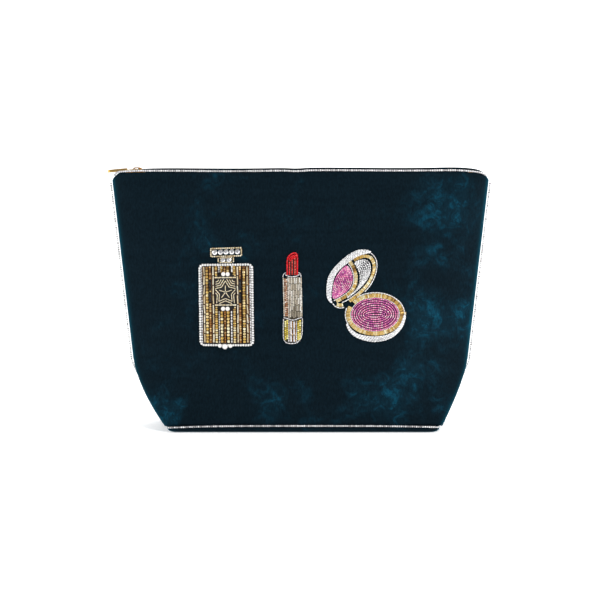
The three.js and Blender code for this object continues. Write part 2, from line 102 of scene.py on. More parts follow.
SWEEP_FRONT, SWEEP_BACK, SWEEP_HALF, SWEEP_RISE = -2.5, 2.2, 3.0, 2.0
SWEEP_ROWS, SWEEP_COLS = 49, 9
sweep_at = np.linspace(0, 1, SWEEP_ROWS)
turn = np.clip((sweep_at - 0.6) / 0.4, 0, 1) * math.pi / 2
sweep_y = SWEEP_FRONT + (SWEEP_BACK - SWEEP_FRONT) * np.minimum(sweep_at / 0.6, 1) + 0.9 * np.sin(turn)
sweep_z = SWEEP_RISE * (1 - np.cos(turn))
sweep_x = np.linspace(-SWEEP_HALF, SWEEP_HALF, SWEEP_COLS)
sweep_points = np.stack([
    np.repeat(sweep_x[None], SWEEP_ROWS, 0),
    np.repeat(sweep_y[:, None], SWEEP_COLS, 1),
    np.repeat(sweep_z[:, None], SWEEP_COLS, 1),
], -1)


def grid_quads(rows, cols, close_rows=False, close_cols=False):
    """Faces of a grid of points, row after row: each joins a point, its right neighbour, and the two above
    them."""
    r = np.arange(rows if close_rows else rows - 1)[:, None]
    c = np.arange(cols if close_cols else cols - 1)[None]
    r2, c2 = (r + 1) % rows, (c + 1) % cols
    return np.stack([r * cols + c, r * cols + c2, r2 * cols + c2, r2 * cols + c], -1).reshape(-1, 4)


def piece_from(name, points, *faces, smooth=True, stand=0.0):
    """A mesh object from points (n, 3), set stand higher, and face arrays, each with one number of
    corners."""
    mesh = bpy.data.meshes.new(name)
    points = (np.asarray(points).reshape(-1, 3) + (0, 0, stand)).astype(np.float32)
    faces = [np.asarray(f) for f in faces if len(f)]
    corners = np.concatenate([f.ravel() for f in faces]).astype(np.int32)
    sizes = np.concatenate([np.full(len(f), f.shape[1]) for f in faces])
    mesh.vertices.add(len(points))
    mesh.vertices.foreach_set("co", points.ravel())
    mesh.loops.add(len(corners))
    mesh.loops.foreach_set("vertex_index", corners)
    mesh.polygons.add(len(sizes))
    mesh.polygons.foreach_set("loop_start", np.concatenate([[0], np.cumsum(sizes)[:-1]]).astype(np.int32))
    mesh.polygons.foreach_set("use_smooth", np.full(len(sizes), smooth))
    mesh.update(calc_edges=True)
    mesh.validate()
    piece = bpy.data.objects.new(name, mesh)
    bpy.context.scene.collection.objects.link(piece)
    return piece


def points_of(piece):
    """The piece's points, as an array of (n, 3)."""
    co = np.zeros(len(piece.data.vertices) * 3, np.float32)
    piece.data.vertices.foreach_get("co", co)
    return co.reshape(-1, 3).astype(float)


def marked(piece, label, values):
    """Gives the piece a number of its own at each point, for its shader to read."""
    layer = piece.data.attributes.new(label, "FLOAT", "POINT")
    layer.data.foreach_set("value", np.asarray(values).astype(np.float32))


def material_nodes(name):
    """A new node material: its tree, its Principled shader and a function that adds a node with its
    settings."""
    stuff = bpy.data.materials.new(name)
    stuff.use_nodes = True
    tree = stuff.node_tree
    shader = tree.nodes["Principled BSDF"]
    return stuff, tree, shader, node_adder(tree)


def node_adder(tree):
    """add(kind, inputs by name, properties) puts one node into the tree."""

    def add(kind, inputs=(), **settings):
        node = tree.nodes.new(kind)
        for key, value in settings.items():
            setattr(node, key, value)
        for key, value in dict(inputs).items():
            if isinstance(value, bpy.types.NodeSocket):
                tree.links.new(value, node.inputs[key])
            else:
                node.inputs[key].default_value = value
        return node

    return add


sweep = piece_from("paper_sweep", sweep_points, grid_quads(SWEEP_ROWS, SWEEP_COLS))
paper, paper_tree, paper_shader, add = material_nodes("glowing_sweep_paper")
paper_noise = add("ShaderNodeTexNoise", {"Scale": 3.0})
paper_tint = add("ShaderNodeMapRange", {"Value": paper_noise.outputs["Fac"], "To Min": 0.93, "To Max": 0.95})
paper_tree.links.new(paper_tint.outputs["Result"], paper_shader.inputs["Base Color"])
paper_shader.inputs["Roughness"].default_value = 0.9
paper_shader.inputs["Specular IOR Level"].default_value = 0.1
# The paper glows a little of its own: painted light that keeps it white and lights the bag from below.
paper_shader.inputs["Emission Color"].default_value = (1, 1, 1, 1)
paper_shader.inputs["Emission Strength"].default_value = 0.42
sweep.data.materials.append(paper)


# --- Velvet panels ----------------------------------------------------------
# Front and back are cut from silk velvet on a cotton ground. They are sewn together down
# the sides, and the lower corners are boxed, so each panel turns round to the end seam.
base_low, base_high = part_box("base_panel")
BASE_HALF_W = (base_high.x - base_low.x) / 2
BASE_SHIFT = (base_high.x + base_low.x) / 2
BASE_HALF_D = base_high.y
TRAY_TOP = base_high.z
BODY_LIFT = 1.5 * MM
CORNER_SHIFT = 2.4 * MM
APEX_HALF_W = 118.7 * MM
RIM_HALF_W = 132.8 * MM
APEX_Z = 46 * MM
RIM_Z = 177.4 * MM
FORM_Z = 178 * MM
BACK_RISE = 3 * MM
RIM_HALF_D = 7.6 * MM
SEAM_HALF_D = 1.5 * MM
FOOT_DROP = 1.1 * MM
END_DISH = 2 * MM
SEAM_GAP = 0.15 * MM
PANEL_FOOT = 3.9 * MM
CROWN_FROM = 130 * MM
VELVET_THICK = 0.9 * MM
RIPPLE = 0.35 * MM
LEAST_DEPTH = 0.35 * MM
ACROSS_STEPS = 401
END_STEPS = 24
# How strong the painted sheen along the side seams is, and how fast it fades away from them.
SEAM_PAINTED_SHEEN = 0.75
SEAM_FADE = 1.1 * MM


def half_width(z):
    """Half width at height z: a quick flare over the boxed corner, then a straight line out to the rim."""
    t = np.clip(z / APEX_Z, 0, 1)
    corner = BASE_HALF_W + (APEX_HALF_W - BASE_HALF_W) * (1 - (1 - t) ** 1.38)
    side = APEX_HALF_W + (RIM_HALF_W - APEX_HALF_W) * (z - APEX_Z) / (FORM_Z - APEX_Z)
    return np.where(z < APEX_Z, corner, side)


def centre_x(z):
    """The base sits a little to the right; the lean fades, by the power 2.5, up to the corner's apex."""
    return CORNER_SHIFT * (1 - np.clip(z / APEX_Z, 0, 1)) ** 2.5


def corner_half_depth(z):
    """Half depth where front and end meet: full at the base, falling in a line to the side seam's own
    thickness."""
    return SEAM_HALF_D + (BASE_HALF_D - SEAM_HALF_D) * np.clip(1 - z / APEX_Z, 0, 1)


def ripple(u, z, side):
    """Soft waves in the cloth: drag lines that fan out from the boxed corners, and a slow swell across the
    middle."""
    slant = np.abs(u) * 5.2 - z / APEX_Z * 1.7
    near_foot = np.clip(1 - z / (2.2 * APEX_Z), 0, 1)
    near_side = np.clip(np.abs(u) * 1.6 - 0.5, 0, 1)
    fan = np.sin(slant * 2.4 + side) * near_foot * near_side
    swell = np.sin(u * 3.1 + 0.6 * side) * np.sin(z / RIM_Z * math.pi * 1.6 + 0.5)
    gather = np.sin(u * 46 + 2 * np.sin(u * 9)) * np.clip((z - 0.955 * RIM_Z) / (0.045 * RIM_Z), 0, 1) ** 2
    return RIPPLE * (1.5 * fan + swell + 0.35 * gather) * (1 - np.abs(np.clip(u, -1, 1)) ** 12)


def half_depth(u, z, side=-1):
    """Half depth at share u of the half width: the middle's own depth, falling to the corner's as a power
    of u."""
    s = np.clip(z, 0, FORM_Z) / FORM_Z
    middle = RIM_HALF_D + (BASE_HALF_D - RIM_HALF_D) * (1 - s**1.25)
    power = 2.6 + 14 * s**6
    corner = corner_half_depth(z)
    return corner + (middle - corner) * (1 - np.abs(u) ** power) + ripple(u, z, side)


def inset_depth(u, z, inset, side):
    """The face moved inwards by inset, square to its own slope across the bag."""
    step = 0.01
    slope = (half_depth(u + step, z, side) - half_depth(u - step, z, side)) / (2 * step * half_width(z))
    return half_depth(u, z, side) - inset * np.hypot(1, slope)


def inset_half_width(z, inset, side):
    """The half width at which an inset face still has LEAST_DEPTH of room, found by halving."""
    low, high = np.zeros_like(z), np.ones_like(z)
    for _ in range(24):
        middle = (low + high) / 2
        room_left = inset_depth(middle, z, inset, side) > LEAST_DEPTH
        low, high = np.where(room_left, middle, low), np.where(room_left, high, middle)
    return np.minimum(low * half_width(z), half_width(z) - inset)


def rim_drop(u):
    """How far the rim falls towards each corner: a slow sag, then a round, both squares of the share run
    past a start."""
    past = lambda start: np.clip((np.abs(u) - start) / (1 - start), 0, 1) ** 2
    left = 1.3 * past(0.83) + 4.7 * past(0.95)
    right = 2.6 * past(0.78) + 2.9 * past(0.94)
    return MM * np.where(u < 0, left, right)


def rim_wave(u):
    """The rim's slight lean to the right, its slow rise and fall, and a dip in the middle where the zip
    tape pulls."""
    dip = np.exp(-(((u + 0.02) / 0.05) ** 2))
    return MM * (0.4 * u + 0.22 * np.sin(u * 7 + 0.8) - 0.5 * dip) * (1 - np.abs(u) ** 8)


def back_rise(u, rise):
    """The back rim's rise over the front one: it dies away at the corners, much later on the right."""
    return rise * (1 - np.abs(u) ** np.where(u < 0, 10, 36)) * (1 + 0.2 * np.clip(u, 0, 1) ** 6)


def foot_drop(u):
    """The seam round the foot hangs a little lower towards both corners."""
    return FOOT_DROP * np.clip(np.abs(u), 0, 1) ** 4 * np.where(u < 0, 1.3, 0.9)


def lifted(level, u, rise):
    """Height of a point whose level would be flat: the rim's rise, drop and wave fade in above CROWN_FROM,
    and the foot's drop fades out below the boxed corner's apex."""
    share = np.clip((level - CROWN_FROM) / (RIM_Z - CROWN_FROM), 0, 1) ** 2
    low = np.clip(1 - level / APEX_Z, 0, 1) ** 2
    return level + share * (back_rise(u, rise) - rim_drop(u) + rim_wave(u)) - low * foot_drop(u)


def section_row(level, side, inset, rise, count):
    """One level of a panel from side seam to side seam: in along the end, across the face, and back, evenly
    spaced. A short running average along it rounds the folds."""
    run = np.linspace(-1, 1, ACROSS_STEPS)
    u = np.sin(run * math.pi / 2) * 0.35 + run * 0.65
    z = lifted(level, u, rise)
    half = inset_half_width(z, inset, side)
    across = u * half / half_width(z)
    x = centre_x(z) + u * half
    y = side * np.maximum(inset_depth(across, z, inset, side), LEAST_DEPTH)
    dish = END_DISH * np.clip(abs(y[0]) / (12 * MM), 0, 1)
    t = np.linspace(0, 1, END_STEPS + 1)[:-1]
    sag = dish * np.cos(t * math.pi / 2)
    left_y, right_y = (side * (SEAM_GAP + (abs(edge) - SEAM_GAP) * t) for edge in (y[0], y[-1]))
    left = np.stack([x[0] + sag, left_y, np.full(END_STEPS, z[0])], -1)
    right = np.stack([x[-1] - sag, right_y, np.full(END_STEPS, z[-1])], -1)
    line = np.concatenate([left, np.stack([x, y, z], -1), right[::-1]])
    gone = np.concatenate([[0], np.cumsum(np.linalg.norm(np.diff(line, axis=0), axis=1))])
    even = np.linspace(0, gone[-1], count)
    line = np.stack([np.interp(even, gone, line[:, k]) for k in range(3)], -1)
    spread = 4
    padded = np.concatenate([2 * line[0] - line[spread:0:-1], line,
                             2 * line[-1] - line[-2 : -spread - 2 : -1]])
    kernel = np.hanning(2 * spread + 3)[1:-1]
    return np.stack([np.convolve(padded[:, k], kernel / kernel.sum(), "valid") for k in range(3)], -1)


def cloth_shell(name, side, inset, thick, top, rise, rows=90, count=260):
    """A closed sheet: the section rows of the outer face and of the inner one, joined along the foot, the
    rim and both ends."""
    share = np.linspace(0, 1, rows)
    levels = PANEL_FOOT + (top - PANEL_FOOT) * (1 - (1 - share) ** 1.15)
    faces = [
        np.array([section_row(level, side, depth, rise, count) for level in levels])
        for depth in (inset, inset + thick)
    ]
    outer, inner = faces
    ring = np.concatenate([outer, inner[::-1]])
    quads = grid_quads(2 * rows, count, close_rows=True)
    ends = []
    for column in (0, count - 1):
        at = np.arange(2 * rows) * count + column
        a, b = at[:rows], at[rows:][::-1]
        end = np.stack([a[:-1], a[1:], b[1:], b[:-1]], -1)
        ends.append(end if column == 0 else end[:, ::-1])
    if side > 0:
        quads, ends = quads[:, ::-1], [e[:, ::-1] for e in ends]
    return piece_from(name, ring, quads, *ends, stand=BODY_LIFT)


def open_with(piece):
    """Bakes the piece's transform into its mesh and reads its points, which are not used further."""
    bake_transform(piece)
    co = points_of(piece)


def group_tree(name, inputs, outputs):
    """An empty shader node group with named sockets; gives back the tree, its adder and its two end
    nodes."""
    tree = bpy.data.node_groups.new(name, "ShaderNodeTree")
    for label, kind, value in inputs:
        socket = tree.interface.new_socket(name=label, in_out="INPUT", socket_type=kind)
        socket.default_value = value
    for label, kind in outputs:
        tree.interface.new_socket(name=label, in_out="OUTPUT", socket_type=kind)
    add_node = node_adder(tree)
    return tree, add_node, add_node("NodeGroupInput"), add_node("NodeGroupOutput")


FLOAT, COLOUR = "NodeSocketFloat", "NodeSocketColor"

# Places where a hand has swept the pile the other way, mixed towards the lighter teal: partly real nap,
# partly painted sheen, strongest in the two on the right, where the light falls. The middle of each in
# metres, its reach and its strength.
BRUSHED_AND_SHEEN = (
    ((0.098, -0.02, 0.152), 0.05, 0.3),
    ((0.104, -0.02, 0.07), 0.062, 0.32),
    ((-0.022, -0.03, 0.031), 0.045, 0.2),
    ((0.056, -0.03, 0.032), 0.045, 0.18),
    ((-0.094, -0.03, 0.01), 0.03, 0.2),
)


def velvet_pile_group():
    """Pile of a crushed velvet: patches where the nap lies the other way, lighter teal that is partly
    painted sheen, veined like crumpled paper, faint drag lines of painted wrinkle shade, and the grain of
    the tufts. Puts out the colour, the roughness and a height."""
    tree, add_node, given, put = group_tree(
        "velvet_pile",
        [("Deep", COLOUR, (0, 0, 0, 1)), ("Lit", COLOUR, (0, 0, 0, 1)), ("Patch Bias", FLOAT, 0.0)],
        [("Color", COLOUR), ("Roughness", FLOAT), ("Height", FLOAT)],
    )
    link = tree.links.new
    place = add_node("ShaderNodeTexCoord")
    broad = add_node("ShaderNodeTexNoise", {"Vector": place.outputs["Object"], "Scale": 24.0, "Detail": 3.0,
                                            "Roughness": 0.6, "Distortion": 0.5})
    total = broad.outputs["Fac"]
    for spot, reach, gain in BRUSHED_AND_SHEEN:
        away = add_node("ShaderNodeVectorMath", {0: place.outputs["Object"], 1: spot}, operation="DISTANCE")
        near = add_node("ShaderNodeMapRange",
                        {"Value": away.outputs["Value"], "From Max": reach, "To Min": gain,
                                               "To Max": 0.0}, interpolation_type="SMOOTHSTEP")
        total = add_node("ShaderNodeMath", {0: total, 1: near.outputs["Result"]}, operation="ADD").outputs[0]
    bias = add_node("ShaderNodeMath", {0: total, 1: given.outputs["Patch Bias"]}, operation="ADD")
    patch = add_node("ShaderNodeMapRange", {"Value": bias.outputs[0], "From Min": 0.52, "From Max": 0.9},
                     interpolation_type="SMOOTHSTEP")
    cloud = add_node("ShaderNodeTexNoise", {"Vector": place.outputs["Object"], "Scale": 120.0, "Detail": 6.0,
                                            "Roughness": 0.72, "Distortion": 0.9})
    vein = add_node("ShaderNodeMapRange", {"Value": cloud.outputs["Fac"], "From Min": 0.46, "From Max": 0.7},
                    interpolation_type="SMOOTHSTEP")
    floor = add_node("ShaderNodeMapRange", {"Value": vein.outputs["Result"], "To Min": 0.16})
    brushed_and_sheen = add_node("ShaderNodeMath", {0: patch.outputs["Result"], 1: floor.outputs["Result"]},
                       operation="MULTIPLY")
    spread = add_node("ShaderNodeVectorMath", {0: place.outputs["Object"], 1: (0.14, 0.5, 1.0)},
                      operation="MULTIPLY")
    drag = add_node("ShaderNodeTexNoise", {"Vector": spread.outputs[0], "Scale": 190.0, "Detail": 3.0,
                                           "Distortion": 0.6})
    squeeze = add_node("ShaderNodeVectorMath", {0: place.outputs["Object"], 1: (1.0, 1.0, 0.45)},
                       operation="MULTIPLY")
    streak = add_node("ShaderNodeTexNoise", {"Vector": squeeze.outputs[0], "Scale": 900.0, "Detail": 3.0})
    tuft = add_node("ShaderNodeTexNoise",
                    {"Vector": place.outputs["Object"], "Scale": 2600.0, "Detail": 1.0})
    # Drag lines: painted shade and light of shallow wrinkles, scaling the colour between 0.9 and 1.08 in
    # long streaks.
    drag_shading = add_node("ShaderNodeMapRange", {"Value": drag.outputs["Fac"], "From Min": 0.3, "From Max": 0.7,
                                           "To Min": 0.9, "To Max": 1.08})
    shade = add_node("ShaderNodeMapRange", {"Value": streak.outputs["Fac"], "From Min": 0.3, "From Max": 0.7,
                                            "To Min": 0.78, "To Max": 1.22})
    tone = add_node("ShaderNodeMath", {0: drag_shading.outputs["Result"], 1: shade.outputs["Result"]},
                    operation="MULTIPLY")
    mix = add_node("ShaderNodeMix", {"Factor": brushed_and_sheen.outputs[0]}, data_type="RGBA")
    link(given.outputs["Deep"], mix.inputs[6])
    link(given.outputs["Lit"], mix.inputs[7])
    scaled = add_node("ShaderNodeVectorMath", {0: mix.outputs[2]}, operation="SCALE")
    link(tone.outputs[0], scaled.inputs["Scale"])
    rough = add_node("ShaderNodeMapRange", {"Value": cloud.outputs["Fac"], "To Min": 0.7, "To Max": 0.95})
    height = add_node("ShaderNodeMath", {0: streak.outputs["Fac"], 1: tuft.outputs["Fac"]}, operation="ADD")
    link(scaled.outputs[0], put.inputs["Color"])
    link(rough.outputs["Result"], put.inputs["Roughness"])
    link(height.outputs[0], put.inputs["Height"])
    return tree


velvet_pile = velvet_pile_group()


def velvet_stuff(name, patch_bias):
    """Dark teal velvet: black-green where the pile faces you, teal in the swept patches, partly painted
    sheen, and bright teal at a glancing angle and near the side seams, painted into the base colour as
    sheen."""
    stuff, tree, shader, add_node = material_nodes(name)
    pile = add_node("ShaderNodeGroup", node_tree=velvet_pile)
    pile.inputs["Deep"].default_value = (0.0036, 0.0098, 0.015, 1)
    pile.inputs["Lit"].default_value = (0.005, 0.062, 0.106, 1)
    pile.inputs["Patch Bias"].default_value = patch_bias
    # Painted sheen: the base colour is mixed towards bright teal at a glancing angle and, through the seam
    # attribute, near the side seams.
    glance = add_node("ShaderNodeLayerWeight", {"Blend": 0.5})
    edge = add_node("ShaderNodeMapRange", {"Value": glance.outputs["Facing"], "From Min": 0.5},
                    interpolation_type="SMOOTHSTEP")
    seam = add_node("ShaderNodeAttribute", attribute_name="painted_seam_sheen")
    painted_sheen = add_node("ShaderNodeMath", {0: edge.outputs["Result"], 1: seam.outputs["Fac"]},
                         operation="MAXIMUM")
    rim = add_node("ShaderNodeMix", {"Factor": painted_sheen.outputs[0], 6: pile.outputs["Color"]},
                   data_type="RGBA")
    rim.inputs[7].default_value = (0.006, 0.13, 0.2, 1)
    bump = add_node("ShaderNodeBump",
                    {"Height": pile.outputs["Height"], "Strength": 0.35, "Distance": 0.0003})
    tree.links.new(rim.outputs[2], shader.inputs["Base Color"])
    tree.links.new(pile.outputs["Roughness"], shader.inputs["Roughness"])
    tree.links.new(bump.outputs["Normal"], shader.inputs["Normal"])
    shader.inputs["Specular IOR Level"].default_value = 0.02
    shader.inputs["Sheen Weight"].default_value = 0.3
    shader.inputs["Sheen Roughness"].default_value = 0.25
    shader.inputs["Sheen Tint"].default_value = (0.01, 0.3, 0.42, 1)
    return stuff


velvet = velvet_stuff("teal_velvet", 0.0)
for panel_name, side, rise in (("front", -1, 0.0), ("back", 1, BACK_RISE)):
    panel = cloth_shell(f"velvet_{panel_name}", side, 0.0, VELVET_THICK, RIM_Z, rise)
    panel.data.materials.append(velvet)
    # How near each point lies to a side seam, which sets the painted sheen there.
    x, _, z = (points_of(panel) - (0, 0, BODY_LIFT)).T
    seam_away = np.clip(half_width(z) - np.abs(x - centre_x(z)), 0, None)
    marked(panel, "painted_seam_sheen", SEAM_PAINTED_SHEEN * np.exp(-seam_away / SEAM_FADE))
    open_with(panel)
    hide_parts(f"panel_{panel_name}")


# --- Padding and lining -----------------------------------------------------
# Behind the velvet lies a needled felt that lets the bag stand, cut short of the zip.
# The lining is a satin bag of its own, dropped in and caught under the zip tape.
PADDING_IN, PADDING_THICK, PADDING_TOP = 1.2 * MM, 1.2 * MM, 163 * MM
LINING_IN, LINING_THICK, LINING_TOP = 2.7 * MM, 0.4 * MM, 172.6 * MM


def woven_group():
    """Plain weave: two sine waves at right angles, in the piece's own x-with-y and z, push up warp and weft
    in turn."""
    tree, add_node, given, put = group_tree(
        "plain_weave",
        [("Thread", FLOAT, 0.0004), ("Color A", COLOUR, (0, 0, 0, 1)), ("Color B", COLOUR, (0, 0, 0, 1))],
        [("Color", COLOUR), ("Height", FLOAT)],
    )
    link = tree.links.new
    place = add_node("ShaderNodeTexCoord")
    apart = add_node("ShaderNodeSeparateXYZ", {"Vector": place.outputs["Object"]})
    waves = []
    for axis in ("X", "Z"):
        share = add_node("ShaderNodeMath", {0: apart.outputs[axis]}, operation="DIVIDE")
        link(given.outputs["Thread"], share.inputs[1])
        turns = add_node("ShaderNodeMath", {0: share.outputs[0], 1: math.pi}, operation="MULTIPLY")
        waves.append(add_node("ShaderNodeMath", {0: turns.outputs[0]}, operation="SINE"))
    over = add_node("ShaderNodeMath", {0: waves[0].outputs[0], 1: waves[1].outputs[0]}, operation="MULTIPLY")
    up = add_node("ShaderNodeMapRange", {"Value": over.outputs[0], "From Min": -1.0})
    fleck = add_node("ShaderNodeTexNoise",
                     {"Vector": place.outputs["Object"], "Scale": 190.0, "Detail": 4.0})
    blend = add_node("ShaderNodeMath", {0: up.outputs["Result"], 1: fleck.outputs["Fac"]},
                     operation="MULTIPLY")
    mix = add_node("ShaderNodeMix", {"Factor": blend.outputs[0]}, data_type="RGBA")
    link(given.outputs["Color A"], mix.inputs[6])
    link(given.outputs["Color B"], mix.inputs[7])
    link(mix.outputs[2], put.inputs["Color"])
    link(up.outputs["Result"], put.inputs["Height"])
    return tree


plain_weave = woven_group()


def woven_stuff(name, thread, dark, light, roughness, sheen, bump_depth):
    """A woven cloth whose thread width, two colours and gloss are its own."""
    stuff, tree, shader, add_node = material_nodes(name)
    weave = add_node("ShaderNodeGroup", node_tree=plain_weave)
    weave.inputs["Thread"].default_value = thread
    weave.inputs["Color A"].default_value = (*dark, 1)
    weave.inputs["Color B"].default_value = (*light, 1)
    bump = add_node("ShaderNodeBump",
                    {"Height": weave.outputs["Height"], "Strength": 0.6, "Distance": bump_depth})
    tree.links.new(weave.outputs["Color"], shader.inputs["Base Color"])
    tree.links.new(bump.outputs["Normal"], shader.inputs["Normal"])
    shader.inputs["Roughness"].default_value = roughness
    shader.inputs["Sheen Weight"].default_value = sheen
    shader.inputs["Sheen Roughness"].default_value = 0.3
    return stuff


felt = woven_stuff("needled_felt", 0.9 * MM, (0.5, 0.47, 0.4), (0.75, 0.72, 0.64), 0.95, 0.3, 0.0003)
satin = woven_stuff("lining_satin", 0.35 * MM, (0.006, 0.008, 0.016), (0.02, 0.024, 0.045), 0.38, 0.15,
                    0.00006)
for panel_name, side in (("front", -1), ("back", 1)):
    padding = cloth_shell(f"padding_{panel_name}", side, PADDING_IN, PADDING_THICK, PADDING_TOP, 0.0, 40,
                          150)
    padding.data.materials.append(felt)
    open_with(padding)
    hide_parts(f"interlining_{panel_name}")
    lining = cloth_shell(f"satin_{panel_name}", side, LINING_IN, LINING_THICK, LINING_TOP, 0.0, 60, 200)
    lining.data.materials.append(satin)
    open_with(lining)
    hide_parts(f"lining_{panel_name}")


# --- Base -------------------------------------------------------------------
# The floor is a velvet tray with a rounded foot, over a stiff felt board and a satin floor.
def rounded_ring(inset, z, corner=6.5 * MM, steps=10, split=16):
    """A rectangle's outline with round corners, moved in by inset, at height z; high rings hang with the
    foot seam."""
    radius = max(corner - 0.6 * inset, 1.5 * MM)
    half_x, half_y = BASE_HALF_W - inset - radius, BASE_HALF_D - inset - radius
    angle = np.linspace(0, math.pi / 2, steps)[None] + np.arange(4)[:, None] * math.pi / 2
    sign_x = np.array([1, -1, -1, 1])[:, None]
    sign_y = np.array([1, 1, -1, -1])[:, None]
    x = sign_x * half_x + radius * np.cos(angle)
    y = sign_y * half_y + radius * np.sin(angle)
    ring = np.stack([x, y], -1).reshape(-1, 2)
    ring = np.concatenate([np.linspace(ring[k], ring[(k + 1) % len(ring)], split, endpoint=False)
                           if k % steps == steps - 1 else ring[k : k + 1] for k in range(len(ring))])
    height = z - foot_drop(ring[:, 0] / BASE_HALF_W) * np.clip(z / TRAY_TOP, 0, 1) ** 2
    return np.stack([BASE_SHIFT + ring[:, 0], ring[:, 1], height], -1)


def ringed_body(name, rings):
    """A closed body from one ring to the next, its first and last rings filled."""
    rings = np.array(rings)
    count, around = rings.shape[:2]
    quads = grid_quads(count, around, close_cols=True)
    lids = np.array([np.arange(around)[::-1], (count - 1) * around + np.arange(around)])
    return piece_from(name, rings.reshape(-1, 3), quads, lids)


tray_lip = [(0, TRAY_TOP / MM - 0.3), (0.2, TRAY_TOP / MM), (0.7, TRAY_TOP / MM), (0.9, TRAY_TOP / MM - 0.3)]
tray_profile = [(8, 0), (4.2, 0), (2.4, 0.25), (1.2, 0.8), (0.4, 1.8), (0, 3), *tray_lip,
                (0.9, 3), (1.4, 1.9), (2.8, 1.2), (8, 1.0)]
tray = ringed_body("base_tray", [rounded_ring(inset * MM, z * MM) for inset, z in tray_profile])
tray.data.materials.append(velvet_stuff("teal_velvet_base", -0.04))
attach(tray, "base")
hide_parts("base_panel")

for name, node, slot, inset, stuff in (
    ("base_felt", "base_interlining", "padding", 2.3, felt),
    ("base_satin", "base_lining", "lining", 2.5, satin),
):
    low, high = (corner.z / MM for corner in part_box(node))
    steps = [(inset + 0.6, low), (inset + 0.1, low + 0.12), (inset, high - 0.15), (inset + 0.3, high)]
    board = ringed_body(name, [rounded_ring(i * MM, z * MM) for i, z in steps])
    board.data.materials.append(stuff)
    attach(board, "base")
    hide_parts(node)


# --- Bead trim --------------------------------------------------------------
# Round glass seed beads, lined with silver, are couched one by one along the front rim,
# down each side seam and along the front base seam.
SEED_PITCH = 1.56 * MM
SEED_R = 0.74 * MM
drawing = np.random.default_rng(11)


def turned_ring(section, turns):
    """A closed ring turned about the x axis from a section of (x, radius): out over one end, along, and
    back through the hole."""
    section = np.array(section)
    angle = np.linspace(0, 2 * math.pi, turns, endpoint=False)
    x = np.repeat(section[:, :1], turns, 1)
    y = section[:, 1:] * np.cos(angle)
    z = section[:, 1:] * np.sin(angle)
    quads = grid_quads(len(section), turns, close_rows=True, close_cols=True)
    return np.stack([x, y, z], -1).reshape(-1, 3), quads[:, ::-1]


ROUND_BEAD = turned_ring([(-0.34, 0.3), (-0.48, 0.52), (-0.43, 0.78), (-0.17, 0.98), (0.17, 0.98),
                          (0.43, 0.78), (0.48, 0.52), (0.34, 0.3)], 10)
LONG_BEAD = turned_ring([(-0.49, 0.5), (-0.5, 0.8), (-0.48, 0.97), (-0.2, 1), (0.2, 1), (0.48, 0.97),
                         (0.5, 0.8), (0.49, 0.5)], 9)


def unit(v):
    """Vectors at length one."""
    return v / np.maximum(np.linalg.norm(v, axis=-1, keepdims=True), 1e-12)


def lengths_along(line):
    """Distance run along a line of points, from 0 at the first."""
    return np.concatenate([[0], np.cumsum(np.linalg.norm(np.diff(line, axis=0), axis=1))])


def at_lengths(line, gone, where):
    """Points of a line at given distances run."""
    return np.stack([np.interp(where, gone, line[:, k]) for k in range(line.shape[1])], -1)


def even_along(line, pitch):
    """Places at an even pitch along a line of points, the direction of the line at each, and the pitch
    used."""
    gone = lengths_along(line)
    count = max(int(round(gone[-1] / pitch)), 1)
    at = (np.arange(count) + 0.5) * gone[-1] / count
    reach = 0.25 * pitch
    low, high = np.clip(at - reach, 0, gone[-1]), np.clip(at + reach, 0, gone[-1])
    ahead = unit(at_lengths(line, gone, high) - at_lengths(line, gone, low))
    return at_lengths(line, gone, at), ahead, gone[-1] / count


def set_out(shape, centre, along, out, size):
    """Copies of a shape: each point is the centre plus along, side and out times the shape's x, y and z and
    the size."""
    side = unit(np.cross(out, along))
    out = np.cross(along, side)
    scaled = shape[None] * size[:, None]
    points = centre[:, None] + scaled[..., :1] * along[:, None] + scaled[..., 1:2] * side[:, None]
    return points + scaled[..., 2:] * out[:, None]


def beadwork(name, rows, shape=ROUND_BEAD, stand=BODY_LIFT):
    """One piece from rows of (centre, along, out, size, tone): every bead is a closed copy of shape, with
    its tone."""
    shape, quads = shape
    points = np.concatenate([set_out(shape, *row[:4]) for row in rows])
    tone = np.concatenate([row[4] for row in rows])
    each = len(shape)
    faces = (quads[None] + np.arange(len(points))[:, None, None] * each).reshape(-1, quads.shape[1])
    piece = piece_from(name, points.reshape(-1, 3), faces, stand=stand)
    marked(piece, "bead_tone", np.repeat(tone, each))
    return piece


def row_of(line, normal_at, pitch, radius, fill=0.88, tone=(0, 1), wobble=0.05):
    """A strung row: beads of one radius at an even pitch, each a little different in size, lean and tone."""
    centre, along, step = even_along(line, pitch)
    count = len(centre)
    out = normal_at(centre)
    along = unit(along + wobble * drawing.normal(size=(count, 3)))
    grow = 1 + 0.06 * drawing.normal(size=(count, 1))
    size = np.concatenate([np.full((count, 1), step * fill), radius * grow, radius * grow], 1)
    return centre, along, out, size, drawing.uniform(*tone, count)


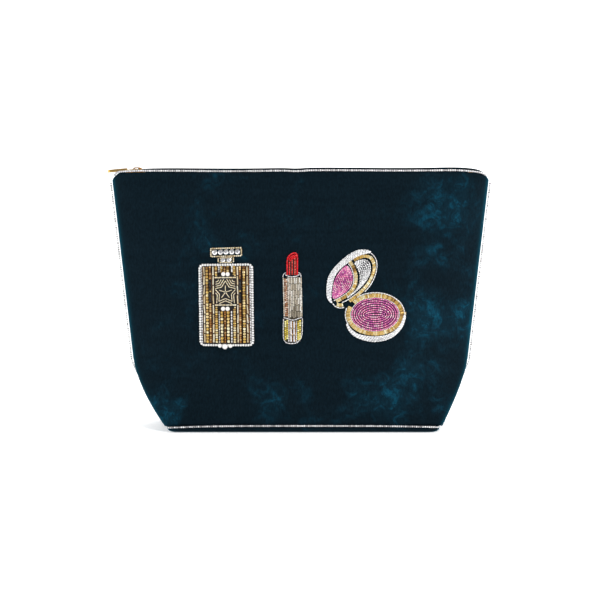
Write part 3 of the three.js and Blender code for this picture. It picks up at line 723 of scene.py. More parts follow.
def bead_glass_group():
    """Colour of a lined bead from its own tone: dark, then middle, then light, streaked a little along the
    glass."""
    tree, add_node, given, put = group_tree(
        "bead_lining",
        [("Dark", COLOUR, (0, 0, 0, 1)), ("Middle", COLOUR, (0, 0, 0, 1)), ("Light", COLOUR, (0, 0, 0, 1))],
        [("Color", COLOUR), ("Roughness", FLOAT)],
    )
    link = tree.links.new
    tone = add_node("ShaderNodeAttribute", attribute_name="bead_tone")
    low = add_node("ShaderNodeMapRange", {"Value": tone.outputs["Fac"], "From Max": 0.5})
    high = add_node("ShaderNodeMapRange", {"Value": tone.outputs["Fac"], "From Min": 0.5})
    first = add_node("ShaderNodeMix", {"Factor": low.outputs["Result"]}, data_type="RGBA")
    second = add_node("ShaderNodeMix", {"Factor": high.outputs["Result"]}, data_type="RGBA")
    link(given.outputs["Dark"], first.inputs[6])
    link(given.outputs["Middle"], first.inputs[7])
    link(first.outputs[2], second.inputs[6])
    link(given.outputs["Light"], second.inputs[7])
    place = add_node("ShaderNodeTexCoord")
    streak = add_node("ShaderNodeTexNoise",
                      {"Vector": place.outputs["Object"], "Scale": 1500.0, "Detail": 2.0})
    shade = add_node("ShaderNodeMapRange", {"Value": streak.outputs["Fac"], "From Min": 0.3, "From Max": 0.7,
                                            "To Min": 0.7, "To Max": 1.15})
    scaled = add_node("ShaderNodeVectorMath", {0: second.outputs[2]}, operation="SCALE")
    link(shade.outputs["Result"], scaled.inputs["Scale"])
    rough = add_node("ShaderNodeMapRange", {"Value": streak.outputs["Fac"], "To Min": 0.08, "To Max": 0.26})
    link(scaled.outputs[0], put.inputs["Color"])
    link(rough.outputs["Result"], put.inputs["Roughness"])
    return tree


bead_lining = bead_glass_group()


def bead_stuff(name, dark, middle, light, metallic=0.0, coat=0.6):
    """Glass beads with a coloured or silvered lining, their colour darkened towards each bead's outline as
    the camera looks at it: painted shade.
    """
    stuff, tree, shader, add_node = material_nodes(name)
    lined = add_node("ShaderNodeGroup", node_tree=bead_lining)
    for label, colour in (("Dark", dark), ("Middle", middle), ("Light", light)):
        lined.inputs[label].default_value = (*colour, 1)
    # Painted shade: the lining colour falls to 0.3 of itself where the surface turns away from the camera.
    glance = add_node("ShaderNodeLayerWeight", {"Blend": 0.5})
    shaded = add_node("ShaderNodeMapRange",
                      {"Value": glance.outputs["Facing"], "From Min": 0.2, "From Max": 0.8,
                                             "To Min": 1.0, "To Max": 0.3}, interpolation_type="SMOOTHSTEP")
    seen = add_node("ShaderNodeVectorMath", {0: lined.outputs["Color"]}, operation="SCALE")
    tree.links.new(shaded.outputs["Result"], seen.inputs["Scale"])
    tree.links.new(seen.outputs[0], shader.inputs["Base Color"])
    tree.links.new(lined.outputs["Roughness"], shader.inputs["Roughness"])
    shader.inputs["Metallic"].default_value = metallic
    shader.inputs["Coat Weight"].default_value = coat
    shader.inputs["Coat Roughness"].default_value = 0.04
    return stuff


silver_seed = bead_stuff("silver_lined_seed", (0.3, 0.29, 0.3), (0.8, 0.78, 0.79), (1.0, 0.99, 1.0), 0.2)


def fixed_normal(direction):
    """The same outward direction at every bead."""
    return lambda centre: np.repeat(np.array([direction], float), len(centre), 0)


SEW_GAP = 0.3 * MM
rim_u = np.sin(np.linspace(-1, 1, 500) * math.pi / 2) * 0.985
rim_level = lifted(RIM_Z, rim_u, 0.0)
rim_line = np.stack([
    rim_u * half_width(rim_level),
    -(half_depth(rim_u, rim_level) - 0.35 * MM),
    rim_level + SEW_GAP + SEED_R,
], -1)
rim_beads = beadwork("beads_rim",
                     [row_of(rim_line, fixed_normal((0, 0, 1)), SEED_PITCH, SEED_R, wobble=0.1,
                             tone=(0.2, 1))])
rim_beads.data.materials.append(silver_seed)
open_with(rim_beads)
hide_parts("trim_rim")

for name, sign in (("left", -1), ("right", 1)):
    z = np.linspace(4 * MM, 170.2 * MM, 500)
    dish = END_DISH * np.clip((corner_half_depth(z) - 1.5 * MM) / (12 * MM), 0, 1)
    out = half_width(z) - dish + SEW_GAP + SEED_R + 0.25 * np.clip(dish, 0, MM)
    side_line = np.stack([centre_x(z) + sign * out, np.zeros_like(z), z], -1)
    side_row = row_of(side_line, fixed_normal((sign, 0, 0)), SEED_PITCH, SEED_R, wobble=0.1)
    side_beads = beadwork(f"beads_side_{name}", [side_row])
    side_beads.data.materials.append(silver_seed)
    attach(side_beads, "base")
    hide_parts(f"trim_side_{name}")

base_u = np.linspace(-0.99, 0.99, 80)
base_line = np.stack([
    BASE_SHIFT + BASE_HALF_W * base_u,
    np.full(80, -(BASE_HALF_D + SEW_GAP + SEED_R)) + 1.2 * MM * np.abs(base_u) ** 30,
    3.6 * MM - foot_drop(base_u),
], -1)
base_row = row_of(base_line, fixed_normal((0, -1, 0)), 1.48 * MM, 0.66 * MM, wobble=0.12)
base_beads = beadwork("beads_base", [base_row])
base_beads.data.materials.append(silver_seed)
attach(base_beads, "base")
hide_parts("trim_base")


# --- Perfume bottle motif ---------------------------------------------------
# Hand beading on the front panel, over a brown felt ground: a ring of white beads, columns of
# gold, copper and silver beads, a black label with a wire star, pearls, and stones for the cap.
BOTTLE_LEAN = math.radians(0.8)
BOTTLE_X, BOTTLE_Z = -51.2, 86.0


def on_front(x, z, lift):
    """A point on the front face, lifted off it."""
    u = np.clip((x - centre_x(z)) / half_width(z), -1, 1)
    return np.stack([x, -(half_depth(u, z) + lift), z], -1)


def front_normal(centre):
    """Outward normal of the front face above or below each point, from the face's two slopes."""
    x, z, step = centre[:, 0], centre[:, 2], 0.5 * MM
    dx = (on_front(x + step, z, 0) - on_front(x - step, z, 0)) / (2 * step)
    dz = (on_front(x, z + step, 0) - on_front(x, z - step, 0)) / (2 * step)
    return unit(np.cross(dx, dz))


def leaned(line, lean=BOTTLE_LEAN, x0=BOTTLE_X, z0=BOTTLE_Z):
    """A flat line of (x, z) turned a little about a point."""
    x, z = np.asarray(line, float).T
    turned_x = x0 + (x - x0) * math.cos(lean) - (z - z0) * math.sin(lean)
    return np.stack([turned_x, z0 + (x - x0) * math.sin(lean) + (z - z0) * math.cos(lean)], -1)


def laid_on_front(line, lift, step=0.3):
    """A flat line of (x, z) in millimetres as points on the front face, one each step."""
    line = np.asarray(line, float)
    gone = lengths_along(line)
    flat = at_lengths(line, gone, np.linspace(0, gone[-1], max(int(gone[-1] / step), 4))) * MM
    return on_front(flat[:, 0], flat[:, 1], lift * MM)


def sewn(line, pitch, radius, closed=False, tone=(0, 1), fill=0.9, lift=0.3, wobble=0.06):
    """A row of beads along a flat line of (x, z) in millimetres, lying on the front face."""
    line = np.asarray(line, float)
    if closed:
        line = np.concatenate([line, line[:1]])
    return row_of(laid_on_front(line, lift + radius), front_normal, pitch * MM, radius * MM, fill, tone,
                  wobble)


def rounded_outline(x0, x1, z0, z1, radius, steps=8):
    """A rectangle in the face with round corners, as (x, z) points."""
    angle = np.linspace(0, math.pi / 2, steps)[None] + np.arange(4)[:, None] * math.pi / 2
    cx = np.array([x1 - radius, x0 + radius, x0 + radius, x1 - radius])[:, None]
    cz = np.array([z1 - radius, z1 - radius, z0 + radius, z0 + radius])[:, None]
    return np.stack([cx + radius * np.cos(angle), cz + radius * np.sin(angle)], -1).reshape(-1, 2)


def sew_on(piece, stuff, slot, *nodes):
    """Gives a piece of the beading its material, bakes its transform and hides the CAD solids it replaces;
    slot is not used.
    """
    piece.data.materials.append(stuff)
    open_with(piece)
    if nodes:
        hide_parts(*nodes)


def face_patch(name, x0, x1, z0, z1, lift, thick, lean=0.0, corner=0.6, cols=24, rows=24):
    """A thin closed sheet that follows the front face: a grid in x and z, pulled in at its corners and
    thinned at its edge."""
    u, v = np.meshgrid(np.linspace(-1, 1, cols), np.linspace(-1, 1, rows))
    pull = 1 - corner / (x1 - x0) * (u**8) * (v**8)
    flat = np.stack([(x0 + x1) / 2 + (x1 - x0) / 2 * u * pull, (z0 + z1) / 2 + (z1 - z0) / 2 * v * pull], -1)
    x, z = (leaned(flat.reshape(-1, 2), lean) * MM).T
    edge = (np.maximum(np.abs(u), np.abs(v)) ** 14).ravel()
    top = on_front(x, z, (lift + thick * (1 - 0.6 * edge)) * MM)
    bottom = on_front(x, z, np.full_like(x, lift * MM))
    quads = grid_quads(rows, cols)
    under = quads[:, ::-1] + rows * cols
    rim = np.concatenate([np.arange(cols), np.arange(2 * cols - 1, rows * cols, cols),
                          np.arange(rows * cols - 2, (rows - 1) * cols - 1, -1),
                          np.arange((rows - 2) * cols, 0, -cols)])
    nxt = np.roll(rim, -1)
    wall = np.stack([nxt, rim, rim + rows * cols, nxt + rows * cols], -1)
    return piece_from(name, np.concatenate([top, bottom]), quads, under, wall, stand=BODY_LIFT)


white_bead = bead_stuff("white_pearl_seed", (0.55, 0.54, 0.53), (0.84, 0.83, 0.82), (1.0, 0.99, 0.98), 0.0)
gold_bead = bead_stuff("gold_lined_bead", (0.17, 0.06, 0.007), (0.74, 0.47, 0.1), (1.0, 0.95, 0.66), 0.25)
copper_bead = bead_stuff("copper_lined_bead", (0.07, 0.018, 0.003), (0.42, 0.17, 0.03), (0.9, 0.62, 0.25),
                         0.3)
champagne = bead_stuff("champagne_bugle", (0.5, 0.36, 0.18), (0.9, 0.74, 0.46), (1.0, 0.95, 0.78), 0.2)
brown_bead = bead_stuff("brown_bugle", (0.02, 0.006, 0.003), (0.09, 0.03, 0.01), (0.3, 0.15, 0.05), 0.2)
brown_felt = woven_stuff("ground_felt", 0.4 * MM, (0.012, 0.004, 0.002), (0.05, 0.02, 0.008), 0.9, 0.1,
                         0.0001)
black_satin = woven_stuff("label_satin", 0.3 * MM, (0.001, 0.001, 0.001), (0.004, 0.0035, 0.004), 0.7, 0.0,
                          0.00005)

RING_X0, RING_X1, RING_Z0, RING_Z1 = -69.5, -33.1, 58.4, 113.6
COLUMN_FOOT, COLUMN_TOP = 59.8, 112.7
LABEL_X0, LABEL_X1, LABEL_Z0, LABEL_Z1 = -60.2, -43.3, 85.9, 104.8
ring_line = leaned(rounded_outline(RING_X0, RING_X1, RING_Z0, RING_Z1, 2.7))
ring = beadwork("bottle_ring", [sewn(ring_line, 1.74, 0.92, True, (0.45, 1), 0.93, wobble=0.05)])
sew_on(ring, white_bead, "seed_bead_silver", "bottle_outline")
ground = face_patch("bottle_ground", RING_X0 + 0.6, RING_X1 - 0.6, RING_Z0 + 0.6, RING_Z1 - 0.6, 0.04, 0.18,
                    BOTTLE_LEAN, 2.4)
sew_on(ground, brown_felt, "label_black")

UNDER_LABEL, OVER_LABEL = (COLUMN_FOOT, 81.9), (108.1, COLUMN_TOP)


def glow(z, top, foot):
    """Tone range of a short run of a column: amber under the ring and by the label, pale in the lower
    middle."""
    pale = math.exp(-(((z - 68) / 5.5) ** 2)) * foot
    return max(0.0, 0.08 + 0.5 * pale - 0.08 * top), min(1.0, 0.78 + 0.4 * pale)


def column(x, radius, pitch, spans, foot=0.0, steps=5, tone=None):
    """A column of beads in one or more spans, its tone following glow in a few steps."""
    made = []
    for z0, z1 in spans:
        edges = np.linspace(z0, z1, (1 if tone else steps) + 1)
        for a, b in zip(edges[:-1], edges[1:]):
            lit = tone or glow((a + b) / 2, (a + b) / 2 > 100, foot)
            made.append(sewn(leaned([(x, a), (x, b)]), pitch, radius, tone=lit, wobble=0.04))
    return made


whole = [(COLUMN_FOOT, COLUMN_TOP)]
beside_label = [(COLUMN_FOOT, 87.2), (103.6, COLUMN_TOP)]
split = [UNDER_LABEL, OVER_LABEL]
gold_columns = (column(-64.5, 1.05, 2.0, whole, 0.5) + column(-38.9, 1.08, 1.9, whole, 0.8)
                + column(-58.1, 1.0, 1.8, [(COLUMN_FOOT, 83.6), (106.4, COLUMN_TOP)], 1.0)
                + column(-45.6, 1.05, 1.8, [(COLUMN_FOOT, 83.6), (106.4, COLUMN_TOP)], 1.0)
                + column(-54.4, 1.05, 1.9, split, 1.4) + column(-50.0, 1.1, 1.9, split, 1.4))
copper_columns = (column(-62.4, 0.8, 1.5, beside_label, tone=(0.2, 1))
                  + column(-41.6, 0.82, 1.5, beside_label, tone=(0.2, 1))
                  + column(-52.2, 0.72, 1.55, split, tone=(0.1, 0.8))
                  + column(-35.6, 0.42, 1.5, whole, tone=(0, 0.5)))
bugle_columns = [row for x in (-66.5, -60.2, -43.3, -36.6)
                 for row in column(x, 0.48, 6.6, whole, tone=(0.3, 1))]
side_x, middle_x = (-67.5, -61.2, -65.7, -42.5, -37.4), (-59.4, -44.3)
brown_columns = [row for x in side_x for row in column(x, 0.3, 5.0, whole, tone=(0, 1))]
brown_columns += [row for x in middle_x
                  for row in column(x, 0.3, 5.0, [(COLUMN_FOOT, 84), (107, COLUMN_TOP)], tone=(0, 1))]
silver_columns = (column(-68.2, 0.42, 1.74, whole, tone=(0, 0.8))
                  + column(-34.5, 0.6, 1.74, whole, tone=(0.2, 1))
                  + column(-56.2, 0.5, 1.7, split, tone=(0.1, 0.8))
                  + column(-47.7, 0.62, 2.0, [UNDER_LABEL], tone=(0.5, 1)))
white_drops = [row for x, radius in ((-55.0, 0.5), (-47.1, 0.62))
               for row in column(x, radius, 2.4, [(108.4, 113.2)], tone=(0.8, 1))]
sew_on(beadwork("bottle_gold_columns", gold_columns), gold_bead, "bead_gold", "bottle_columns")
sew_on(beadwork("bottle_copper_columns", copper_columns), copper_bead, "bead_gold")
sew_on(beadwork("bottle_bugle_columns", bugle_columns, LONG_BEAD), champagne, "bugle_silver")
sew_on(beadwork("bottle_brown_columns", brown_columns, LONG_BEAD), brown_bead, "bead_gold")
sew_on(beadwork("bottle_silver_columns", silver_columns), silver_seed, "seed_bead_silver")
sew_on(beadwork("bottle_white_drops", white_drops, LONG_BEAD), white_bead, "seed_bead_silver")

backing = face_patch("bottle_label_backing", -58.9, -44.7, 82.3, 107.8, 0.22, 0.35, BOTTLE_LEAN)
sew_on(backing, black_satin, "label_black", "bottle_label")
bars = [sewn(leaned([(x, z0), (x, z1)]), 2.4, 0.95, tone=(0, 0.4), wobble=0.02)
        for x in (-62.3, -41.6) for z0, z1 in ((88.1, 94.6), (96.3, 103.0))]
jet_bead = bead_stuff("jet_bugle", (0.002, 0.002, 0.003), (0.006, 0.006, 0.008), (0.03, 0.03, 0.04), 0.0,
                      0.2)
sew_on(beadwork("bottle_jet_bars", bars, LONG_BEAD), jet_bead, "label_black")
dots = [sewn(leaned([(x - 0.7, z), (x + 0.7, z)]), 1.4, 0.62, tone=(0.5, 0.9)) for x, z in
        ((-62.3, 95.4), (-41.6, 95.4), (-57.9, 106.2), (-58.1, 84.3), (-45.2, 84.2), (-45.0, 106.3))]
sew_on(beadwork("bottle_gold_dots", dots), gold_bead, "bead_gold")


def wire(name, lines, radius, sides=7, lift=0.9):
    """Thin wires along flat (x, z) lines in millimetres: a ring of points about each, smooth, closed at
    both ends."""
    points, quads, lids, start = [], [], [], 0
    angle = np.linspace(0, 2 * math.pi, sides, endpoint=False)
    for line in lines:
        centre = laid_on_front(line, lift, 0.25)
        along = unit(np.gradient(centre, axis=0))
        out = front_normal(centre)
        side = unit(np.cross(out, along))
        swell = np.full(len(centre), radius * MM)
        swell[[0, -1]] *= 0.6
        ring = centre[:, None] + swell[:, None, None] * (
            np.cos(angle)[None, :, None] * side[:, None] + np.sin(angle)[None, :, None] * out[:, None])
        points.append(ring.reshape(-1, 3))
        quads.append(grid_quads(len(centre), sides, close_cols=True) + start)
        lids.append(np.array([np.arange(sides)[::-1], (len(centre) - 1) * sides + np.arange(sides)]) + start)
        start += len(centre) * sides
    made = piece_from(name, np.concatenate(points), np.concatenate(quads)[:, ::-1],
                      np.concatenate(lids)[:, ::-1],
                      stand=BODY_LIFT)
    marked(made, "bead_tone", 0.62 + 0.3 * np.sin(np.arange(start) * 0.11))
    return made


def softened(line, rounds=3, closed=False):
    """A line with its corners cut off again and again: each edge keeps its middle half."""
    line = np.asarray(line, float)
    for _ in range(rounds):
        nxt = np.roll(line, -1, 0) if closed else line[1:]
        own = line if closed else line[:-1]
        cut = np.stack([0.75 * own + 0.25 * nxt, 0.25 * own + 0.75 * nxt], 1).reshape(-1, 2)
        line = cut if closed else np.concatenate([line[:1], cut, line[-1:]])
    return line


def star_outline(cx, cz, reach, notch=0.5, steps=14):
    """A five-pointed star: ten corners, far and near in turn, with points along each edge."""
    angle = math.pi / 2 + np.arange(11) * math.pi / 5
    far = np.where(np.arange(11) % 2, reach * notch, reach)
    corner = np.stack([cx + far * np.cos(angle), cz + far * np.sin(angle)], -1)
    t = np.linspace(0, 1, steps, endpoint=False)[None, :, None]
    return (corner[:-1, None] * (1 - t) + corner[1:, None] * t).reshape(-1, 2)


def kept_inside(line, x0, x1, z0, z1):
    """The runs of a closed line that lie inside a rectangle."""
    inside = (line[:, 0] > x0) & (line[:, 0] < x1) & (line[:, 1] > z0) & (line[:, 1] < z1)
    if inside.all():
        return [np.concatenate([line, line[:2]])]
    first = int(np.argmin(inside))
    line, inside = np.roll(line, -first, 0), np.roll(inside, -first)
    cuts = np.flatnonzero(np.diff(inside.astype(int))) + 1
    runs = np.split(line, cuts)
    flags = [bool(part[0]) for part in np.split(inside, cuts)]
    return [run for run, flag in zip(runs, flags) if flag and len(run) > 3]


label_cx, label_cz = (LABEL_X0 + LABEL_X1) / 2, (LABEL_Z0 + LABEL_Z1) / 2
echoes = []
for reach in (7.8, 10.6, 13.4, 16.2):
    star = star_outline(label_cx, label_cz - 0.6, reach, 0.56)
    echoes += kept_inside(star, LABEL_X0 + 1.3, LABEL_X1 - 1.3, LABEL_Z0 + 0.9, LABEL_Z1 - 0.9)
spokes = []
for k in range(5):
    angle = math.pi / 2 + k * 2 * math.pi / 5
    t = np.linspace(0.4, 4.7, 12)
    spokes.append(np.stack([label_cx + t * math.cos(angle), label_cz - 0.6 + t * math.sin(angle)], -1))
star_wires = wire("bottle_star_wires", [leaned(line) for line in echoes + spokes], 0.32, lift=1.0)
sew_on(star_wires, champagne, "seed_bead_silver", "bottle_star")
frame_rows = [sewn(leaned([(LABEL_X0 + 0.9, z), (LABEL_X1 - 0.9, z)]), 2.6, 0.48, tone=(0.4, 1))
              for z in (LABEL_Z0, LABEL_Z1)]
sew_on(beadwork("bottle_label_frame", frame_rows, LONG_BEAD), champagne, "bugle_silver")


def pearl_ball(rings=9, turns=16):
    """A unit ball by latitude and longitude, its two poles small closed rings."""
    lat = np.linspace(-1, 1, rings) * (math.pi / 2 - 0.12)
    lon = np.linspace(0, 2 * math.pi, turns, endpoint=False)
    x = np.repeat(np.sin(lat)[:, None], turns, 1)
    points = np.stack([x, np.cos(lat)[:, None] * np.cos(lon), np.cos(lat)[:, None] * np.sin(lon)], -1)
    return points.reshape(-1, 3), grid_quads(rings, turns, close_rows=True, close_cols=True)[:, ::-1]


def pearls(name, places, *nodes):
    """Round pearls at (x, z, radius) in millimetres, sewn through from side to side."""
    x, z, radius = (np.array(v, float) * MM for v in zip(*places))
    centre = on_front(x, z, SEW_GAP + radius)
    out = front_normal(centre)
    along = np.repeat([[1.0, 0, 0]], len(x), 0)
    row = (centre, along, out, np.repeat(radius[:, None], 3, 1), drawing.uniform(0.6, 1, len(x)))
    sew_on(beadwork(name, [row], pearl_ball()), pearl_stuff, "pearl", *nodes)


pearl_stuff, pearl_tree, pearl_shader, add = material_nodes("pearl_lustre")
pearl_cloud = add("ShaderNodeTexNoise", {"Scale": 420.0, "Detail": 3.0})
pearl_mix = add("ShaderNodeMix", {"Factor": pearl_cloud.outputs["Fac"]}, data_type="RGBA")
pearl_mix.inputs[6].default_value = (0.9, 0.86, 0.82, 1)
pearl_mix.inputs[7].default_value = (1.0, 0.98, 0.96, 1)
pearl_tree.links.new(pearl_mix.outputs[2], pearl_shader.inputs["Base Color"])
pearl_shader.inputs["Roughness"].default_value = 0.2
pearl_shader.inputs["Coat Weight"].default_value = 0.8
pearl_shader.inputs["Coat Roughness"].default_value = 0.06
pearls("bottle_pearls_over_label", [(-53.3, 107.2, 1.5), (-50.3, 107.2, 1.5)], "bottle_pearls_upper")
pearls("bottle_pearls_under_label", [(-53.4, 83.4, 1.55), (-50.3, 83.4, 1.55)], "bottle_pearls_lower")
pearls("bottle_pearls_foot", [(-55.6, 58.0, 1.45), (-52.1, 57.5, 1.9), (-48.3, 58.0, 1.45)])


def stone_cut(around=8):
    """A round-cut stone, flat side down: table, crown, girdle and a shallow base, as rings of eight."""
    levels = np.array([(0.0, 0.82), (0.35, 1.0), (0.5, 1.0), (0.95, 0.55)])
    angle = np.linspace(0, 2 * math.pi, around, endpoint=False) + math.pi / 8
    y = levels[:, 1:] * np.cos(angle)
    x = levels[:, 1:] * np.sin(angle)
    z = np.repeat(levels[:, :1], around, 1)
    quads = grid_quads(len(levels), around, close_cols=True)
    last = (len(levels) - 1) * around
    fan = [(last, last + k, last + k + 1, last + k + 2) for k in range(1, around - 2, 2)]
    foot = [(0, k + 2, k + 1, k) for k in range(1, around - 2, 2)]
    return np.stack([x, y, z], -1).reshape(-1, 3), np.concatenate([quads[:, ::-1], fan, foot])


def stones(name, line, count, radius, *nodes):
    """Set stones evenly along a flat line in millimetres, each turned its own way, with its facets kept
    flat."""
    centre, _, _ = even_along(laid_on_front(line, 0.3),
                              lengths_along(np.asarray(line, float))[-1] * MM / count)
    out = front_normal(centre)
    turn = drawing.normal(size=len(centre)) * 0.5
    along = np.stack([np.cos(turn), np.zeros_like(turn), np.sin(turn)], -1)
    out = unit(out + 0.12 * drawing.normal(size=out.shape))
    along = unit(along - out * np.sum(along * out, 1, keepdims=True))
    size = np.repeat([[radius * MM, radius * MM, 1.5 * MM]], len(centre), 0)
    piece = beadwork(name, [(centre, along, out, size, drawing.uniform(0.5, 1, len(centre)))], stone_cut())
    piece.data.polygons.foreach_set("use_smooth", np.zeros(len(piece.data.polygons), bool))
    sew_on(piece, stone_stuff, "crystal", *nodes)


stone_stuff = bead_stuff("set_stone", (0.5, 0.5, 0.52), (0.82, 0.82, 0.86), (1, 1, 1), 0.85, 1.0)
CAP_LEAN = math.radians(1.8)
cap_line = leaned(rounded_outline(-62.0, -40.9, 119.5, 125.0, 0.4, 3), CAP_LEAN, BOTTLE_X, 122.3)
cap_frame = [sewn(cap_line, 1.27, 0.58, True, (0.1, 1), 0.86)]
neck_frame = [sewn(line, 1.1, 0.52, tone=(0.2, 1)) for line in (
    [(-56.9, 115.3), (-56.9, 118.3)], [(-46.4, 115.3), (-46.4, 118.7)], [(-55.9, 115.2), (-47.3, 115.3)],
    [(-55.9, 118.1), (-47.3, 118.6)])]
sew_on(beadwork("bottle_cap_frame", cap_frame + neck_frame), champagne, "bead_gold", "bottle_cap")
stones("bottle_cap_stones_set", leaned([(-61.3, 122.3), (-41.6, 122.3)], CAP_LEAN, BOTTLE_X, 122.3), 5, 1.9,
       "bottle_cap_stones")
stones("bottle_neck_stones_set", [(-55.7, 116.8), (-47.4, 117.0)], 2, 1.8, "bottle_neck")


# --- Lipstick motif ---------------------------------------------------------
# Red bullet outlined in close red beads over a cut slope, a thin white collar, a barrel of
# silver bugles with one copper column, and a case of yellow and silver columns.
red_cord = bead_stuff("red_close_bead", (0.5, 0.001, 0.004), (0.75, 0.002, 0.009), (0.92, 0.012, 0.022), 0.0,
                      0.08)
red_bead = bead_stuff("red_lined_bead", (0.25, 0.002, 0.003), (0.85, 0.02, 0.015), (1.0, 0.2, 0.14), 0.1,
                      0.3)
bugle = bead_stuff("silver_bugle", (0.1, 0.08, 0.045), (0.62, 0.54, 0.41), (1.0, 0.97, 0.9), 0.3)
yellow_bead = bead_stuff("yellow_lined_bead", (0.35, 0.24, 0.02), (0.9, 0.72, 0.09), (1.0, 0.96, 0.5), 0.15)
rose_bead = bead_stuff("rose_copper_bead", (0.14, 0.035, 0.01), (0.6, 0.28, 0.13), (1.0, 0.85, 0.7), 0.25)

bullet_edge = softened([(-9.2, 106.6), (-9.25, 117.4), (-8.2, 119.4), (-6.2, 121.2), (-4.1, 121.9),
                        (-2.6, 121.2), (-2.15, 119.0), (-2.3, 106.6)])
slope = [softened(line) for line in (
    [(-8.0, 117.2), (-6.6, 119.2), (-3.9, 120.6), (-2.8, 119.6)],
    [(-7.6, 116.2), (-5.4, 117.8), (-3.0, 119.0)], [(-6.6, 117.9), (-5.2, 118.9), (-3.8, 119.6)])]
cord_rows = [sewn(bullet_edge, 1.0, 0.6, tone=(0.3, 0.8), wobble=0.02)]
cord_rows += [sewn(line, 1.0, 0.55, tone=(0.2, 0.7), wobble=0.02) for line in slope]
sew_on(beadwork("lipstick_bullet_edge", cord_rows, LONG_BEAD), red_cord, "bead_red", "lipstick_bullet")
red_ground = face_patch("lipstick_bullet_ground", -8.9, -2.6, 106.4, 117.5, 0.05, 0.2)
sew_on(red_ground,
       woven_stuff("red_ground", 0.3 * MM, (0.02, 0.001, 0.002), (0.1, 0.003, 0.006), 0.6, 0.1, 0.00005),
       "bead_red")
red_rows = [sewn([(x, 106.6), (x, top)], 1.08, 0.5, tone=(0.3, 1))
            for x, top in ((-7.65, 115.6), (-5.75, 116.8), (-3.85, 118.2))]
sew_on(beadwork("lipstick_bullet_beads", red_rows), red_bead, "bead_red")

collar_rows = [sewn(softened(line), pitch, 0.34, tone=(0.5, 1)) for line, pitch in (
    ([(-10.5, 106.8), (-8.6, 105.7), (-5.8, 105.3), (-3.0, 105.7), (-0.6, 107.0)], 1.9),
    ([(-12.2, 105.2), (-11.9, 106.8), (-11.0, 107.8), (-10.0, 108.2)], 1.5),
    ([(-1.6, 108.3), (-0.5, 107.9), (0.2, 106.8), (0.4, 105.4)], 1.5),
    ([(-11.8, 77.5), (-9.4, 76.9), (-6.9, 76.0), (-4.6, 75.7), (-2.2, 76.6), (1.1, 77.7)], 1.8),
    ([(-11.75, 76.6), (-11.9, 70.0), (-11.8, 63.2), (-10.5, 60.8), (-8.7, 59.8), (-3.2, 59.8), (-1.1, 61.4),
      (0.9, 64.4), (1.2, 70.0), (1.3, 77.0)], 2.0))]
sew_on(beadwork("lipstick_collar_beads", collar_rows, LONG_BEAD), silver_seed, "seed_bead_silver",
       "lipstick_collar")


ONE_BEAD = 99  # a pitch longer than any span in millimetres, so that one bugle fills the span


def staggered(x_top, x_foot, z_top, z_foot, count, radius, tones):
    """Bugles end to end down a column that leans from x_top to x_foot; each has its own range of tone."""
    edges = np.linspace(0, 1, count + 1)
    at = lambda s: (x_top + (x_foot - x_top) * s, z_top + (z_foot - z_top) * s)
    return [sewn([at(a), at(b)], ONE_BEAD, radius, tone=tones(0.5 * (a + b)), fill=0.93, wobble=0.015)
            for a, b in zip(edges[:-1], edges[1:])]


def barrel_tone(x):
    """Pale at the barrel's edges and near its top, dull olive at the foot of its middle."""
    middle = math.exp(-(((x + 4.6) / 2.6) ** 2))
    return lambda s: (max(0.0, 0.42 - 0.5 * middle * s), max(0.2, 1.0 - 0.75 * middle * s * s))


barrel_rows = []
for k, x in enumerate((-8.5, -7.35, -6.2, -5.05, -3.9, -2.75, -1.6, -0.45)):
    top = 105.9 - 0.9 * math.sqrt(max(0.0, 1 - ((x + 5.7) / 7.0) ** 2))
    foot = 77.4 - 1.1 * math.sqrt(max(0.0, 1 - ((x + 4.9) / 6.4) ** 2))
    count = 9 if k == 0 else 6 + k % 2
    barrel_rows += staggered(x - 0.1, x + 0.55, top - 0.3 * (k % 2), foot + 0.7 + 0.5 * (k % 3), count, 0.47,
                             barrel_tone(x))
barrel_rows += staggered(-11.9, -11.2, 104.9, 78.2, 16, 0.42, lambda s: (0.4, 1))
barrel_rows += staggered(0.45, 0.95, 105.0, 78.2, 12, 0.42, lambda s: (0.4, 1))
copper_rows = [sewn([(-10.85, 104.4), (-10.15, 78.3)], 1.35, 0.55, tone=(0.1, 1), wobble=0.35),
               sewn([(-9.8, 104.0), (-9.15, 78.3)], 1.35, 0.5, tone=(0.3, 1), wobble=0.35)]
barrel_ground = face_patch("lipstick_ground", -11.4, 0.8, 60.4, 105.4, 0.04, 0.16, 0.0, 1.6)
sew_on(barrel_ground,
       woven_stuff("olive_ground", 0.4 * MM, (0.02, 0.016, 0.008), (0.09, 0.07, 0.035), 0.8, 0.1, 0.00008),
       "bugle_silver")
sew_on(beadwork("lipstick_barrel_bugles", barrel_rows, LONG_BEAD), bugle, "bugle_silver", "lipstick_barrel")
sew_on(beadwork("lipstick_barrel_copper", copper_rows), rose_bead, "bead_gold")

case_yellow = [sewn([(x, 62.0 + k % 2 * 0.75), (x, 75.4 + k % 2 * 0.6)], 1.5, 0.76, tone=(0.1, 1),
                    wobble=0.15)
               for k, x in enumerate((-10.4, -9.1, -1.6, -0.3))]
case_silver = [sewn([(x, foot), (x, top)], pitch, radius, tone=tone, wobble=0.03)
               for x, foot, top, pitch, radius, tone in (
    (-8.0, 61.0, 75.6, 1.5, 0.4, (0.1, 0.8)), (-6.5, 60.8, 75.2, 4.8, 0.58, (0.75, 1)),
    (-4.4, 60.8, 75.0, 4.8, 0.52, (0.75, 1)), (-2.8, 61.0, 75.4, 1.5, 0.4, (0.1, 0.8)))]
case_gold = [sewn([(x, 61.0), (x, 75.0)], 1.4, 0.4, tone=(0.1, 0.9)) for x in (-5.45, -7.3, -3.55)]
sew_on(beadwork("lipstick_case_yellow", case_yellow), yellow_bead, "bead_yellow", "lipstick_case")
sew_on(beadwork("lipstick_case_silver", case_silver, LONG_BEAD), silver_seed, "bugle_silver")
sew_on(beadwork("lipstick_case_gold", case_gold), copper_bead, "bead_gold")


